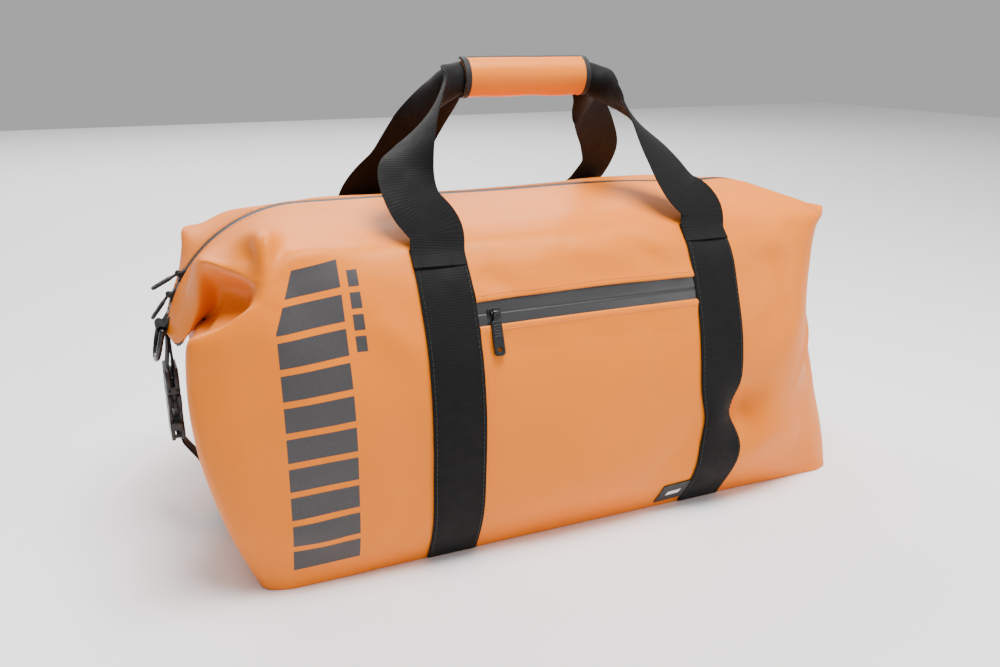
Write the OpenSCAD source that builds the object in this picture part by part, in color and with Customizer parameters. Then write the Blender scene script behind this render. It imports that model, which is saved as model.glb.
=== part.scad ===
// Weekender duffel bag in coated fabric. Millimetres, +Z up, +X along the long side,
// the pocket side faces -Y, and the origin is the bottom centre of the base.

/* [Bag body] */
// Length of the flat base
base_len = 552; // [520:1:580]
// Width of the flat base
base_wid = 260; // [240:1:280]
// Height of the front and back walls up to the shoulder fold
wall_h = 240; // [230:1:250]
// Height of the zip ridge above the floor
ridge_h = 275; // [268:1:282]
// Thickness of the coated fabric
skin = 1.6; // [1.2:0.1:2]

/* [Folded ends] */
// Distance from the middle to where the ends start to curve down
arc_x = 203; // [195:1:210]
// Radius of the curve that the zip follows over each end
arc_r = 115; // [110:1:120]
// Angle that the zip turns through over each end
arc_end = 72; // [60:1:78]
// Thickness of the folded ear, two layers of fabric
ear_t = 4; // [3:0.5:5]

/* [Mouth] */
// Half length of the part of the mouth that lifts between the handles
flap_x = 82; // [70:1:90]

/* [Webbing] */
// Width of the carrying straps
strap_w = 45; // [38:1:50]
// Distance of each strap from the middle
strap_x = 121; // [110:1:130]
// Thickness of the strap webbing
strap_t = 1.8; // [1.4:0.1:2.4]
// Width of the webbing on the end buckles
tab_w = 25; // [20:1:25]

/* [Grip] */
// Length of the padded grip wrap
grip_len = 118; // [100:1:130]
// Outer radius of the grip wrap under its closing flap
grip_r = 15; // [14:0.5:16]
// Height of the middle of the grip
grip_z = 372; // [360:1:380]

/* [Zips] */
// Width of one half of the main zip tape
tape_w = 13; // [11:0.5:14]
// Half length of the pocket zip
pocket_x = 97; // [85:1:98]
// Height of the pocket zip
pocket_z = 204; // [202:1:206]

/* [Buckles and rings] */
// Distance of the buckles from the middle
buckle_x = 317; // [315:1:320]
// Width of the buckle shells
buckle_w = 33; // [31:1:36]
// Radius of the ring wire
wire_r = 2.2; // [1.8:0.1:2.4]

/* [Hidden] */
$fn = 48;
LEFT = -1;
RIGHT = 1;
FRONT = -1;
BACK = 1;
BODY_COLOR = [0.93, 0.58, 0.28];
WEB_COLOR = [0.12, 0.12, 0.12];
TAPE_COLOR = [0.2, 0.2, 0.21];
PLASTIC_COLOR = [0.08, 0.08, 0.08];
METAL_COLOR = [0.15, 0.15, 0.16];

gap = 0.3;                       // clearance between pieces that lie on each other
shoulder_y = 121;                // half width of the bag at the shoulder fold
ridge_y = 14;                    // half width of the zip channel along the ridge
arc_z = ridge_h - arc_r;         // height of the centre of the end curves

// Wall sections from the floor up: [height, half width, half length, corner radius]
WALL = [[0, base_wid / 2, base_len / 2, 22], [40, 143, 289, 40], [85, 150, 299, 52],
        [130, 151, 302, 56], [175, 146, 301, 54], [212, 136, 292, 52],
        [wall_h, shoulder_y, 276, 50]];
// Outer edge of an ear as [angle along the end curve, distance out, half width, height]
EAR_EDGE = [[0, arc_x, shoulder_y - 0.4, 242.2], [24, 250, 120, 246], [40, 277, 93, 247],
            [50, 290, 68, 245], [72, 312, 44, 197], [80, 317, 36, 178]];

// ---- Curves -------------------------------------------------------------------------
function blend(a, b, c, d, t) =
    0.5 * (2 * b + (c - a) * t + (2 * a - 5 * b + 4 * c - d) * t * t
           + (3 * b - a - 3 * c + d) * t * t * t);
// A smooth curve through a list of points, with n steps between each pair
function smooth(p, n) =
    let (last = len(p) - 1)
    concat([for (i = [0:last - 1], k = [0:n - 1])
                blend(p[max(i - 1, 0)], p[i], p[i + 1], p[min(i + 2, last)], k / n)],
           [p[last]]);
function unit(v) = v / norm(v);
function reversed(v) = [for (i = [len(v) - 1:-1:0]) v[i]];
function flat(v) = [for (row = v, item = row) item];

wall = smooth(WALL, 2);
function wall_y(z) = lookup(z, [for (s = wall) [s[0], s[1]]]);

// ---- Sheets -------------------------------------------------------------------------
// A closed skin between two grids of points of the same shape
module skin_between(outer, inner) {
    rows = len(outer);
    cols = len(outer[0]);
    half = rows * cols;
    function at(i, j, layer) = layer * half + i * cols + j;
    function quad(a, b, c, d) = [[a, b, c], [a, c, d]];
    faces = concat(
        [for (i = [0:rows - 2], j = [0:cols - 2])
            each quad(at(i, j, 0), at(i + 1, j, 0), at(i + 1, j + 1, 0), at(i, j + 1, 0))],
        [for (i = [0:rows - 2], j = [0:cols - 2])
            each quad(at(i, j, 1), at(i, j + 1, 1), at(i + 1, j + 1, 1), at(i + 1, j, 1))],
        [for (i = [0:rows - 2])
            each quad(at(i, 0, 0), at(i, 0, 1), at(i + 1, 0, 1), at(i + 1, 0, 0))],
        [for (i = [0:rows - 2])
            each quad(at(i, cols - 1, 0), at(i + 1, cols - 1, 0),
                      at(i + 1, cols - 1, 1), at(i, cols - 1, 1))],
        [for (j = [0:cols - 2])
            each quad(at(0, j, 0), at(0, j + 1, 0), at(0, j + 1, 1), at(0, j, 1))],
        [for (j = [0:cols - 2])
            each quad(at(rows - 1, j, 0), at(rows - 1, j, 1),
                      at(rows - 1, j + 1, 1), at(rows - 1, j + 1, 0))]);
    polyhedron(concat(flat(outer), flat(inner)), faces, convexity = 6);
}

// Mirrors children, drawn at +X, to the given side
module on_side(side) {
    if (side == RIGHT) children();
    else mirror([1, 0, 0]) children();
}

// Half of the bag's outline at one wall section, from the left end round to the right
function half_outline(s, inset) =
    let (b = s[1] - inset, a = s[2] - inset, r = s[3] - inset)
    concat([[-a, -gap]],
           [for (k = [0:6]) [-a + r - r * cos(15 * k), -b + r - r * sin(15 * k)]],
           [for (k = [0:6]) [a - r + r * sin(15 * k), -b + r - r * cos(15 * k)]],
           [[a, -gap]]);
function wall_grid(inset) =
    [for (s = wall) [for (p = half_outline(s, inset)) [p[0], p[1], s[0]]]];

module half_wall() {
    skin_between(wall_grid(0), wall_grid(skin));
}

// A strip of fabric along X with the given section in the YZ plane
module along_x(x0, x1) {
    translate([x0, 0, 0]) rotate([90, 0, 90]) linear_extrude(x1 - x0) children();
}

// Section of the top panels on the front side, from the shoulder up to the zip channel
module top_section() {
    polygon([[-shoulder_y + 0.4, wall_h + gap], [-70, 263], [-ridge_y - gap, ridge_h - 1.5],
             [-ridge_y - gap, ridge_h - 1.5 - skin], [-70, 263 - skin],
             [-shoulder_y + 2.4, wall_h + gap]]);
}

module base_panel() {
    color(BODY_COLOR) linear_extrude(2)
        rounded_plate(base_len - 2 * skin - 1, base_wid - 2 * skin - 1, 20);
}

module rounded_plate(length, width, r) {
    hull() for (x = [-1, 1], y = [-1, 1])
        translate([x * (length / 2 - r), y * (width / 2 - r)]) circle(r);
}

module base_board() {
    color([0.1, 0.1, 0.1]) translate([0, 0, 2 + gap]) linear_extrude(3)
        rounded_plate(base_len - 28, base_wid - 16, 16);
}

module front_panel() {
    color(BODY_COLOR) difference() {
        half_wall();
        translate([-pocket_x, -160, pocket_z - 8]) cube([2 * pocket_x, 40, 16]);
    }
}

module back_panel() {
    color(BODY_COLOR) mirror([0, 1, 0]) half_wall();
}

module front_top_panel() {
    color(BODY_COLOR) {
        along_x(-arc_x, -flap_x - gap) top_section();
        along_x(flap_x + gap, arc_x) top_section();
    }
}

module back_top_panel() {
    mirror([0, 1, 0]) front_top_panel();
}

module front_mouth_flap() {
    color(BODY_COLOR) along_x(-flap_x, flap_x) top_section();
}

module back_mouth_flap() {
    mirror([0, 1, 0]) front_mouth_flap();
}

// ---- Ears: the ends folded down over the bag, one half each side of the zip -----------
EAR_ANGLES = [for (a = [0:8:80]) a];
EAR_STEPS = 5;
function ear_edge(a, k) = lookup(a, [for (e = EAR_EDGE) [e[0], e[k]]]);
// Zip line of the ear: the end curve, then straight on down past its end
function ear_zip(a, r) =
    a <= arc_end ? [arc_x + r * sin(a), arc_z + r * cos(a)]
    : let (down = (a - arc_end) * 2.2)
      [arc_x + r * sin(arc_end) + down * cos(arc_end),
       arc_z + r * cos(arc_end) - down * sin(arc_end)];
function ear_grid(depth) =
    [for (a = EAR_ANGLES)
        let (deep = depth * min(1, 0.4 + a / 40),
             m = ear_zip(a, arc_r - 1.5 - deep), push = [sin(a), 0, cos(a)] * deep,
             e = [ear_edge(a, 1), ear_edge(a, 2), ear_edge(a, 3)] - push,
             start = [m[0] + (a == 0 ? gap : 0), ridge_y + gap, m[1]],
             end = e + [a == 0 ? gap : 0, 0, 0])
        [for (j = [0:EAR_STEPS]) start + (end - start) * j / EAR_STEPS]];

module ear_half() {
    skin_between(ear_grid(ear_t), ear_grid(0));
}

// Hem that joins the two halves below the end of the zip
module ear_hem() {
    low = ear_zip(80, arc_r - 3.5);
    top = ear_zip(74, arc_r - 3.5);
    hull() for (p = [low, top])
        translate([p[0], 0, p[1]]) rotate([90, 0, 0]) cylinder(h = 2 * ridge_y, r = 1.6, center = true);
}

module ear(side) {
    color(BODY_COLOR) on_side(side) {
        ear_half();
        mirror([0, 1, 0]) ear_half();
        ear_hem();
    }
}

module left_ear() { ear(LEFT); }
module right_ear() { ear(RIGHT); }

// ---- Main zip -------------------------------------------------------------------------
slit = 0.6;                      // half width of the slit between the two tapes
tape_t = 1.0;
coil_t = 1.4;
coil_w = 2.4;

// One half of the zip: the tape with its coil on the inside
module zip_section() {
    polygon([[slit, 0], [tape_w, 0], [tape_w, -tape_t], [slit + coil_w, -tape_t],
             [slit + coil_w, -tape_t - coil_t], [slit, -tape_t - coil_t]]);
}

module mid_tape() {
    color(TAPE_COLOR) along_x(-flap_x, flap_x) translate([0, ridge_h]) zip_section();
}

module front_zip_tape() { mirror([0, 1, 0]) mid_tape(); }
module back_zip_tape() { mid_tape(); }

// The zip from beside the mouth flap to its end, on the right side at +Y
module end_tape() {
    along_x(flap_x + gap, arc_x) translate([0, ridge_h]) zip_section();
    translate([arc_x, 0, arc_z]) rotate([-90, 0, 0]) rotate([0, 0, -90])
        rotate_extrude(angle = arc_end, $fn = 180)
            polygon([[arc_r, slit], [arc_r, tape_w], [arc_r - tape_t, tape_w],
                     [arc_r - tape_t, slit + coil_w],
                     [arc_r - tape_t - coil_t, slit + coil_w],
                     [arc_r - tape_t - coil_t, slit]]);
}

module end_zip_tapes() {
    color(TAPE_COLOR)
        for (side = [LEFT, RIGHT], face = [FRONT, BACK])
            on_side(side) mirror([0, face == FRONT ? 1 : 0, 0]) end_tape();
}

// Stop that joins the two tapes at each end of the zip
module zip_end_stops() {
    color(METAL_COLOR) for (side = [LEFT, RIGHT])
        place_on_arc(side, arc_end + 0.9) translate([-1.5, -4, -2.2]) cube([3, 8, 3]);
}

// Puts children on the end curve: their X runs down the zip, Z points out of the bag
module place_on_arc(side, a) {
    on_side(side) translate([arc_x, 0, arc_z]) rotate([0, a, 0])
        translate([0, 0, arc_r]) children();
}

// ---- Sliders and pullers ----------------------------------------------------------------
slider_len = 11;
slider_w = 9;
pin_r = 1.2;
pin_z = 3.9;                     // height of the puller's pin above the tape
eye_r = pin_r + 0.07;

// Slider on a zip along X: a plate above the tapes, a plate below, a thin neck, and a
// bridge whose pin lies across the zip, or along it where the bridge is turned by 90
module slider(bridge_turn = 0, pin = pin_z) {
    under = -tape_t - coil_t - 0.45;
    translate([-slider_len / 2, -slider_w / 2, 0.35]) cube([slider_len, slider_w, 1.2]);
    translate([-slider_len / 2, -slider_w / 2, under - 1]) cube([slider_len, slider_w, 1]);
    translate([-1.5, -0.25, under - 0.5]) cube([3, 0.5, 1.2 - under]);
    rotate([0, 0, bridge_turn]) {
        for (y = [-3.2, 2.2]) hull() {
            translate([-2, y, 1.4]) cube([4, 1, 0.2]);
            translate([0, y, pin]) rotate([-90, 0, 0]) cylinder(h = 1, r = 2.1, $fn = 32);
        }
        translate([0, -3.2, pin]) rotate([-90, 0, 0]) cylinder(h = 6.4, r = pin_r);
    }
}

// Puller with its eye at the origin, the pin along Y and the tab reaching along +X
module puller(length, tab, hole_r) {
    difference() {
        union() {
            translate([0, -1.9, 0]) rotate([-90, 0, 0]) cylinder(h = 3.8, r = 2.3);
            translate([1, -1.9, -0.9]) cube([6, 3.8, 1.8]);
            translate([6, -tab / 2, -1.1]) cube([length - 6, tab, 2.2]);
        }
        translate([0, -3, 0]) rotate([-90, 0, 0]) cylinder(h = 6, r = eye_r);
        translate([length - 5, 0, -2]) cylinder(h = 4, r = hole_r);
    }
}

upper_a = 57;                    // where the two main sliders are parked on the left end
lower_a = 66;
upper_tilt = 30;                 // how far each puller leans off the bag
lower_tilt = 14;

module upper_slider() {
    color(METAL_COLOR) place_on_arc(LEFT, upper_a) slider();
}

module upper_puller() {
    color(METAL_COLOR) place_on_arc(LEFT, upper_a)
        translate([0, 0, pin_z]) rotate([0, -upper_tilt, 0]) puller(24, 7, 1.5);
}

module lower_slider() {
    color(METAL_COLOR) place_on_arc(LEFT, lower_a) slider();
}

module lower_puller() {
    color(METAL_COLOR) place_on_arc(LEFT, lower_a)
        translate([0, 0, pin_z]) rotate([0, -lower_tilt, 0]) puller(24, 7, 1.5);
}

// ---- Pocket -------------------------------------------------------------------------------
pocket_tilt = 17.8;              // slope of the wall at the pocket zip
pocket_park = -88;               // where the pocket slider is parked
pocket_y = 140;                  // distance of the wall from the middle at the pocket zip
pocket_sink = 3.1;               // how deep the tapes lie behind the wall's outer face
pocket_tape_w = 10;              // width of one half of the pocket's zip tape
pocket_pin_z = 5.4;              // height of the pocket puller's pin above the tape

// Puts children on the wall at the pocket zip: X along it, Z out of the wall, Y up the wall
module place_on_pocket(x) {
    translate([x, -pocket_y, pocket_z]) rotate([90 - pocket_tilt, 0, 0])
        translate([0, 0, -pocket_sink]) children();
}

module pocket_tape(up) {
    color(TAPE_COLOR) place_on_pocket(0) rotate([90, 0, 90])
        translate([0, 0, -pocket_x - 4]) linear_extrude(2 * pocket_x + 8)
            mirror([up > 0 ? 0 : 1, 0])
                polygon([[slit, 0], [pocket_tape_w, 0], [pocket_tape_w, -tape_t],
                         [slit + coil_w, -tape_t], [slit + coil_w, -tape_t - coil_t],
                         [slit, -tape_t - coil_t]]);
}

module pocket_zip_upper_tape() { pocket_tape(1); }
module pocket_zip_lower_tape() { pocket_tape(-1); }

module pocket_slider() {
    color(METAL_COLOR) place_on_pocket(pocket_park) slider(90, pocket_pin_z);
}

// The puller hangs straight down from its pin
module pocket_puller() {
    color(METAL_COLOR) place_on_pocket(pocket_park) translate([0, 0, pocket_pin_z])
        rotate([0, 0, -90]) rotate([0, -2, 0]) puller(33, 9, 1.8);
}

// Pouch of thin cloth behind the pocket zip, open towards the zip
module pocket_bag() {
    pouch_low = 92;
    pouch_high = pocket_z + 13;
    color([0.16, 0.16, 0.17]) difference() {
        translate([-104, -130, pouch_low]) cube([208, 16, pouch_high - pouch_low]);
        translate([-103, -129, pouch_low + 1]) cube([206, 14, pouch_high - pouch_low - 2]);
        translate([-pocket_x, -136, pocket_z - 9]) cube([2 * pocket_x, 10, 18]);
    }
}

// ---- Straps and handles ---------------------------------------------------------------------
// Webbing that lies on the wall from the base seam to the shoulder
module strap(x) {
    profile = [for (s = wall) if (s[0] > 1) [-s[1] - gap, s[0]]];
    run = concat([[-wall_y(3) - gap, 2.5]], profile, [[-112, 250]]);
    color(WEB_COLOR) along_x(x - strap_w / 2, x + strap_w / 2)
        polygon(concat(run, [for (p = reversed(run)) p - [strap_t, 0]]));
}

module front_left_strap() { strap(-strap_x); }
module front_right_strap() { strap(strap_x); }
module back_left_strap() { mirror([0, 1, 0]) strap(-strap_x); }
module back_right_strap() { mirror([0, 1, 0]) strap(strap_x); }

// Centre lines of the handles, from the left shoulder over the grip to the right shoulder:
// [x, y, z, angle of the width from level, 90 where the webbing stands upright]. The back
// one is given as its mirror image in the plane between the handles.
FRONT_HANDLE = [[-121, -113, 252.8, 0], [-121.5, -108, 264, 1], [-134, -98, 284, 8],
          [-136, -82, 307, 24], [-121, -62, 329, 40], [-95, -34, 351, 56],
          [-74, -11, 366, 74], [-58, -4.5, 371.5, 86], [-30, -4, 372, 90], [30, -4, 372, 90],
          [58, -4.5, 371.5, 94], [70, -11, 364, 106], [82, -34, 347, 126],
          [91, -58, 326, 142], [97, -80, 304, 158], [105, -98, 282, 172],
          [120.5, -108, 264, 179], [121, -113, 252.8, 180]];
BACK_HANDLE = [[-121, -113, 252.8, 0], [-121.5, -107, 262, 0], [-113, -98, 274, -12],
               [-98, -82, 292, -26], [-89, -62, 313, -40], [-81, -42, 334, -54],
               [-73, -22, 353, -68], [-66, -9, 366, -80], [-58, -4.4, 371.7, -88],
               [-30, -4, 372, -90], [30, -4, 372, -90], [58, -4.4, 371.7, -92],
               [66, -10, 365, -100], [77, -26, 350, -114], [93, -43, 332, -130],
               [112, -62, 311, -146], [126, -82, 288, -162], [124, -100, 267, -176],
               [121, -113, 252.8, -180]];
ROOT_STEPS = 6;                  // curve steps of the handle that stay with the shoulder
FOLD_IN = 62;                    // the handle is folded narrow out to this distance
FOLD_OUT = 90;                   // and it has its full width from this distance
FOLDED = 0.42;                   // share of its width that is left where it is folded

front_path = smooth(FRONT_HANDLE, 3);
back_path = smooth(BACK_HANDLE, 3);

// A point of a handle's centre line between its curve steps
function handle_at(path, t) =
    let (last = len(path) - 1, k = max(0, min(last, t)), i = min(floor(k), last - 1))
    path[i] + (path[i + 1] - path[i]) * (k - i);
function place(p) = [p[0], p[1], p[2]];

// Section corners of the handle's webbing at one station of its centre line
function handle_ring(path, t) =
    let (p = handle_at(path, t), c = place(p), turn = p[3],
         tangent = unit(place(handle_at(path, t + 0.5)) - place(handle_at(path, t - 0.5))),
         across = [cos(turn), 0, sin(turn)],
         w = unit(across - tangent * (across * tangent)), n = cross(tangent, w),
         spread = lookup(abs(c[0]), [[FOLD_IN, FOLDED], [FOLD_OUT, 1]]),
         side = w * strap_w / 2 * spread, up = n * strap_t / 2)
    [c - side - up, c + side - up, c + side + up, c - side + up];

// One side of the webbing between two rings. Its two broad sides are split along the
// same diagonal, so that they stay parallel where the webbing twists.
function ribbon_side(i, k) =
    let (a = 4 * i + k, b = 4 * i + (k + 1) % 4, c = b + 4, d = a + 4)
    k == 2 ? [[a, b, c], [a, c, d]] : [[a, b, d], [b, c, d]];

module ribbon(path, stations) {
    last = len(stations) - 1;
    rings = [for (t = stations) handle_ring(path, t)];
    faces = concat(
        [for (i = [0:last - 1], k = [0:3]) each ribbon_side(i, k)],
        [[0, 3, 2], [0, 2, 1]],
        [[4 * last, 4 * last + 1, 4 * last + 2], [4 * last, 4 * last + 2, 4 * last + 3]]);
    polyhedron(flat(rings), [for (f = faces) reversed(f)], convexity = 8);
}

root_gap = 0.08;                 // share of a curve step left open between root and handle

module handle_loop(path) {
    first = ROOT_STEPS;
    last = len(path) - 1 - ROOT_STEPS;
    color(WEB_COLOR)
        ribbon(path, concat([first + root_gap], [for (i = [first + 1:last - 1]) i],
                            [last - root_gap]));
}

// The lower ends of a handle, which bend when the handles sway
module handle_root_pair(path) {
    last = len(path) - 1;
    ribbon(path, [for (i = [0:ROOT_STEPS]) i]);
    ribbon(path, [for (i = [last - ROOT_STEPS:last]) i]);
}

module handle_roots() {
    color(WEB_COLOR) {
        handle_root_pair(front_path);
        mirror([0, 1, 0]) handle_root_pair(back_path);
    }
}

module front_handle() { handle_loop(front_path); }
module back_handle() { mirror([0, 1, 0]) handle_loop(back_path); }

// ---- Grip -------------------------------------------------------------------------------------
wrap_angle = 330;                // how far the wrap goes round the handles
flap_angle = 185;                // how far its closing flap reaches, from the top over the front

// An arc of a tube along X, with angles measured from the top towards the front
module tube_arc(r0, r1, a0, a1, length) {
    translate([-length / 2, 0, grip_z]) rotate([90, 0, 90])
        rotate([0, 0, 90 + a0]) linear_extrude(length)
            difference() {
                arc_sector(r1, a1 - a0);
                circle(r0);
            }
}

module arc_sector(r, angle) {
    steps = 24;
    polygon(concat([[0, 0]], [for (k = [0:steps])
        [r * cos(angle * k / steps), r * sin(angle * k / steps)]]));
}

module grip_wrap() {
    color(BODY_COLOR) tube_arc(grip_r - 2.5, grip_r, 0, wrap_angle, grip_len);
}

module grip_flap() {
    color(BODY_COLOR) tube_arc(grip_r + gap, grip_r + 2.3, 0, flap_angle, grip_len);
}

// ---- Print and label ----------------------------------------------------------------------------
film = 0.3;

// Printed film: a column of slanted bars with a thin column of small blocks beside its top
module printed_graphic() {
    left = -252;
    bar_w = 50;
    bar_h = 18.5;
    pitch = 23.5;
    color([0.29, 0.28, 0.29]) intersection() {
        along_x(left, left + bar_w + 14) polygon(concat(
            [for (s = wall) [-s[1] - 0.05, s[0]]],
            [for (s = reversed(wall)) [-s[1] - 0.05 - film, s[0]]]));
        translate([0, -110, 0]) rotate([90, 0, 0]) linear_extrude(60) {
            intersection() {
                polygon([[left, 10], [left + 70, 10], [left + 70, 254], [left + 19, 254],
                         [left, 208]]);
                for (k = [0:9]) translate([left, 18 + k * pitch])
                    polygon([[0, 0], [bar_w, 4], [bar_w, bar_h + 4], [0, bar_h]]);
            }
            for (k = [0:3]) translate([left + bar_w + 6, 188 + k * 15]) square([8, 11]);
        }
    }
}

module side_label() {
    label_len = 27;
    label_low = 8;
    label_high = 27;
    label_t = 1;
    outline = [[label_low, 0], [label_high, 0], [label_high, label_t], [label_low, label_t]];
    color([0.08, 0.08, 0.08])
        translate([strap_x - strap_w / 2 - 0.5 - label_len, 0, 0])
            rotate([90, 0, 90]) linear_extrude(label_len)
                polygon([for (p = outline) [-wall_y(p[0]) - gap - p[1], p[0]]]);
}

// ---- End hardware -----------------------------------------------------------------------------------
ring_z = 182;                    // height of the ring's bar
ring_x = 320.5;                  // distance of the ring's bar from the middle
ring_w = 27;                     // width inside the ring
ring_drop = 11;                  // straight sides of the ring before it turns
ring_lean = 14;                  // angle that the ring leans away from the bag

module ring_shape() {
    half = ring_w / 2 + wire_r;
    rotate([-90, 0, 0]) translate([0, 0, -half]) cylinder(h = 2 * half, r = wire_r);
    for (y = [-half, half]) translate([0, y, -ring_drop]) cylinder(h = ring_drop, r = wire_r);
    for (y = [-half, half]) translate([0, y, 0]) sphere(wire_r);
    translate([0, 0, -ring_drop]) rotate([0, -90, 0]) rotate([0, 0, 90])
        rotate_extrude(angle = 180) translate([half, 0]) circle(wire_r, $fn = 32);
}

module ring(side) {
    color(METAL_COLOR) on_side(side) translate([ring_x, 0, ring_z])
        rotate([0, -ring_lean, 0]) ring_shape();
}

module left_ring() { ring(LEFT); }
module right_ring() { ring(RIGHT); }

// Webbing tab: a sleeve round the ring's bar and a tongue up to the ear's hem
module ring_tab(side) {
    bore = wire_r + 0.06;
    color(WEB_COLOR) on_side(side) difference() {
        union() {
            translate([ring_x, -tab_w / 2, ring_z]) rotate([-90, 0, 0])
                cylinder(h = tab_w, r = bore + 1.4);
            rotate([90, 0, 0]) linear_extrude(tab_w, center = true)
                polygon([[ring_x - bore - 1.4, ring_z], [ring_x - bore, ring_z], [314.6, 191],
                         [313.2, 191]]);
        }
        translate([ring_x, -20, ring_z]) rotate([-90, 0, 0]) cylinder(h = 40, r = bore);
    }
}

module left_ring_tab() { ring_tab(LEFT); }
module right_ring_tab() { ring_tab(RIGHT); }

plug_top = 150;                  // top of the buckle's plug, with its webbing bar
socket_top = 128;                // mouth of the buckle's socket
socket_low = 88;                 // bottom of the socket, with its webbing bar
shell_t = 11;                    // thickness of the buckle

bar_r = 1.2;                     // webbing bars of the plug and the socket
plug_bar_z = 143;
socket_bar_z = 91.5;

module webbing_bar(z, r) {
    translate([buckle_x, 0, z]) rotate([90, 0, 0]) cylinder(h = buckle_w - 2, r = r, center = true);
}

// Webbing from the ear's hem down round the plug's bar
module upper_webbing(side) {
    color(WEB_COLOR) on_side(side) difference() {
        rotate([90, 0, 0]) linear_extrude(tab_w, center = true)
            polygon([[315.6, 176], [buckle_x - 2.4, 160], [buckle_x - 2.4, 139.6],
                     [buckle_x + 2.4, 139.6], [buckle_x + 2.4, 150], [buckle_x - 0.4, 160],
                     [317.6, 176]]);
        webbing_bar(plug_bar_z, bar_r + gap);
    }
}

module left_upper_webbing() { upper_webbing(LEFT); }
module right_upper_webbing() { upper_webbing(RIGHT); }

// Plug of the buckle: a frame with the webbing bar and a guide tongue
module buckle_plug(side) {
    color(PLASTIC_COLOR) on_side(side) {
        difference() {
            translate([buckle_x - shell_t / 2, -buckle_w / 2, socket_top + gap])
                cube([shell_t, buckle_w, plug_top - socket_top - gap]);
            translate([buckle_x - 2.7, -tab_w / 2 - 0.5, 139.2]) cube([5.4, tab_w + 1, 20]);
        }
        translate([buckle_x - 1.5, -2, 108]) cube([3, 4, 22]);
        webbing_bar(plug_bar_z, bar_r);
    }
}

module left_buckle_plug() { buckle_plug(LEFT); }
module right_buckle_plug() { buckle_plug(RIGHT); }

prong_y = 10;                    // distance of each prong from the buckle's middle
prong_len = 21;

// Sprung prong with a pad that is pressed to let the buckle go
module prong(side, face) {
    color(PLASTIC_COLOR) on_side(side) mirror([0, face == FRONT ? 1 : 0, 0])
        translate([buckle_x, prong_y, socket_top - 0.2])
            rotate([90, 0, 90]) linear_extrude(3.6, center = true)
                polygon([[1.6, 0], [-1.6, 0], [-1.6, -prong_len], [1, -prong_len],
                         [5.6, -prong_len + 7], [5.6, -prong_len + 11], [1.6, -5]]);
}

module left_front_prong() { prong(LEFT, FRONT); }
module left_back_prong() { prong(LEFT, BACK); }
module right_front_prong() { prong(RIGHT, FRONT); }
module right_back_prong() { prong(RIGHT, BACK); }

// Socket of the buckle: two plates joined at the bottom, open at the sides and the mouth
module buckle_socket(side) {
    cavity_low = 104;
    color(PLASTIC_COLOR) on_side(side) {
        difference() {
            translate([buckle_x - shell_t / 2, -buckle_w / 2, socket_low])
                cube([shell_t, buckle_w, socket_top - socket_low]);
            translate([buckle_x - 2.4, -buckle_w, cavity_low]) cube([4.8, 2 * buckle_w, 40]);
            translate([buckle_x - 2.8, -tab_w / 2 - 0.5, socket_low - 1])
                cube([5.6, tab_w + 1, 8.4]);
        }
        webbing_bar(socket_bar_z, bar_r);
    }
}

module left_buckle_socket() { buckle_socket(LEFT); }
module right_buckle_socket() { buckle_socket(RIGHT); }

// Webbing from the socket's bar in to the end wall and down it to the base seam
module lower_webbing(side) {
    profile = [for (s = reversed(wall)) if (s[0] > 5 && s[0] < 70) [s[2] + gap, s[0]]];
    low = [lookup(4, [for (s = wall) [s[0], s[2]]]) + gap, 4];
    run = concat([[buckle_x - 2.4, 94.6], [buckle_x - 2.4, 86]], profile, [low]);
    color(WEB_COLOR) on_side(side) difference() {
        rotate([90, 0, 0]) linear_extrude(tab_w, center = true)
            polygon(concat(run, [for (p = reversed(run)) if (p[1] < 85) p + [strap_t, 0]],
                           [[buckle_x + 2.4, 88.5], [buckle_x + 2.4, 94.6]]));
        webbing_bar(socket_bar_z, bar_r + gap);
    }
}

module left_lower_webbing() { lower_webbing(LEFT); }
module right_lower_webbing() { lower_webbing(RIGHT); }

base_panel();
base_board();
front_panel();
back_panel();
front_top_panel();
back_top_panel();
front_mouth_flap();
back_mouth_flap();
left_ear();
right_ear();
front_zip_tape();
back_zip_tape();
end_zip_tapes();
zip_end_stops();
upper_slider();
upper_puller();
lower_slider();
lower_puller();
pocket_bag();
pocket_zip_upper_tape();
pocket_zip_lower_tape();
pocket_slider();
pocket_puller();
front_left_strap();
front_right_strap();
back_left_strap();
back_right_strap();
handle_roots();
front_handle();
back_handle();
grip_wrap();
grip_flap();
printed_graphic();
side_label();
left_ring_tab();
right_ring_tab();
left_ring();
right_ring();
left_upper_webbing();
right_upper_webbing();
left_buckle_plug();
right_buckle_plug();
left_front_prong();
left_back_prong();
right_front_prong();
right_back_prong();
left_buckle_socket();
right_buckle_socket();
left_lower_webbing();
right_lower_webbing();
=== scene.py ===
import math

import bmesh
import bpy
import numpy as np
from mathutils import Matrix, Vector, noise
from mathutils.bvhtree import BVHTree


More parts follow.
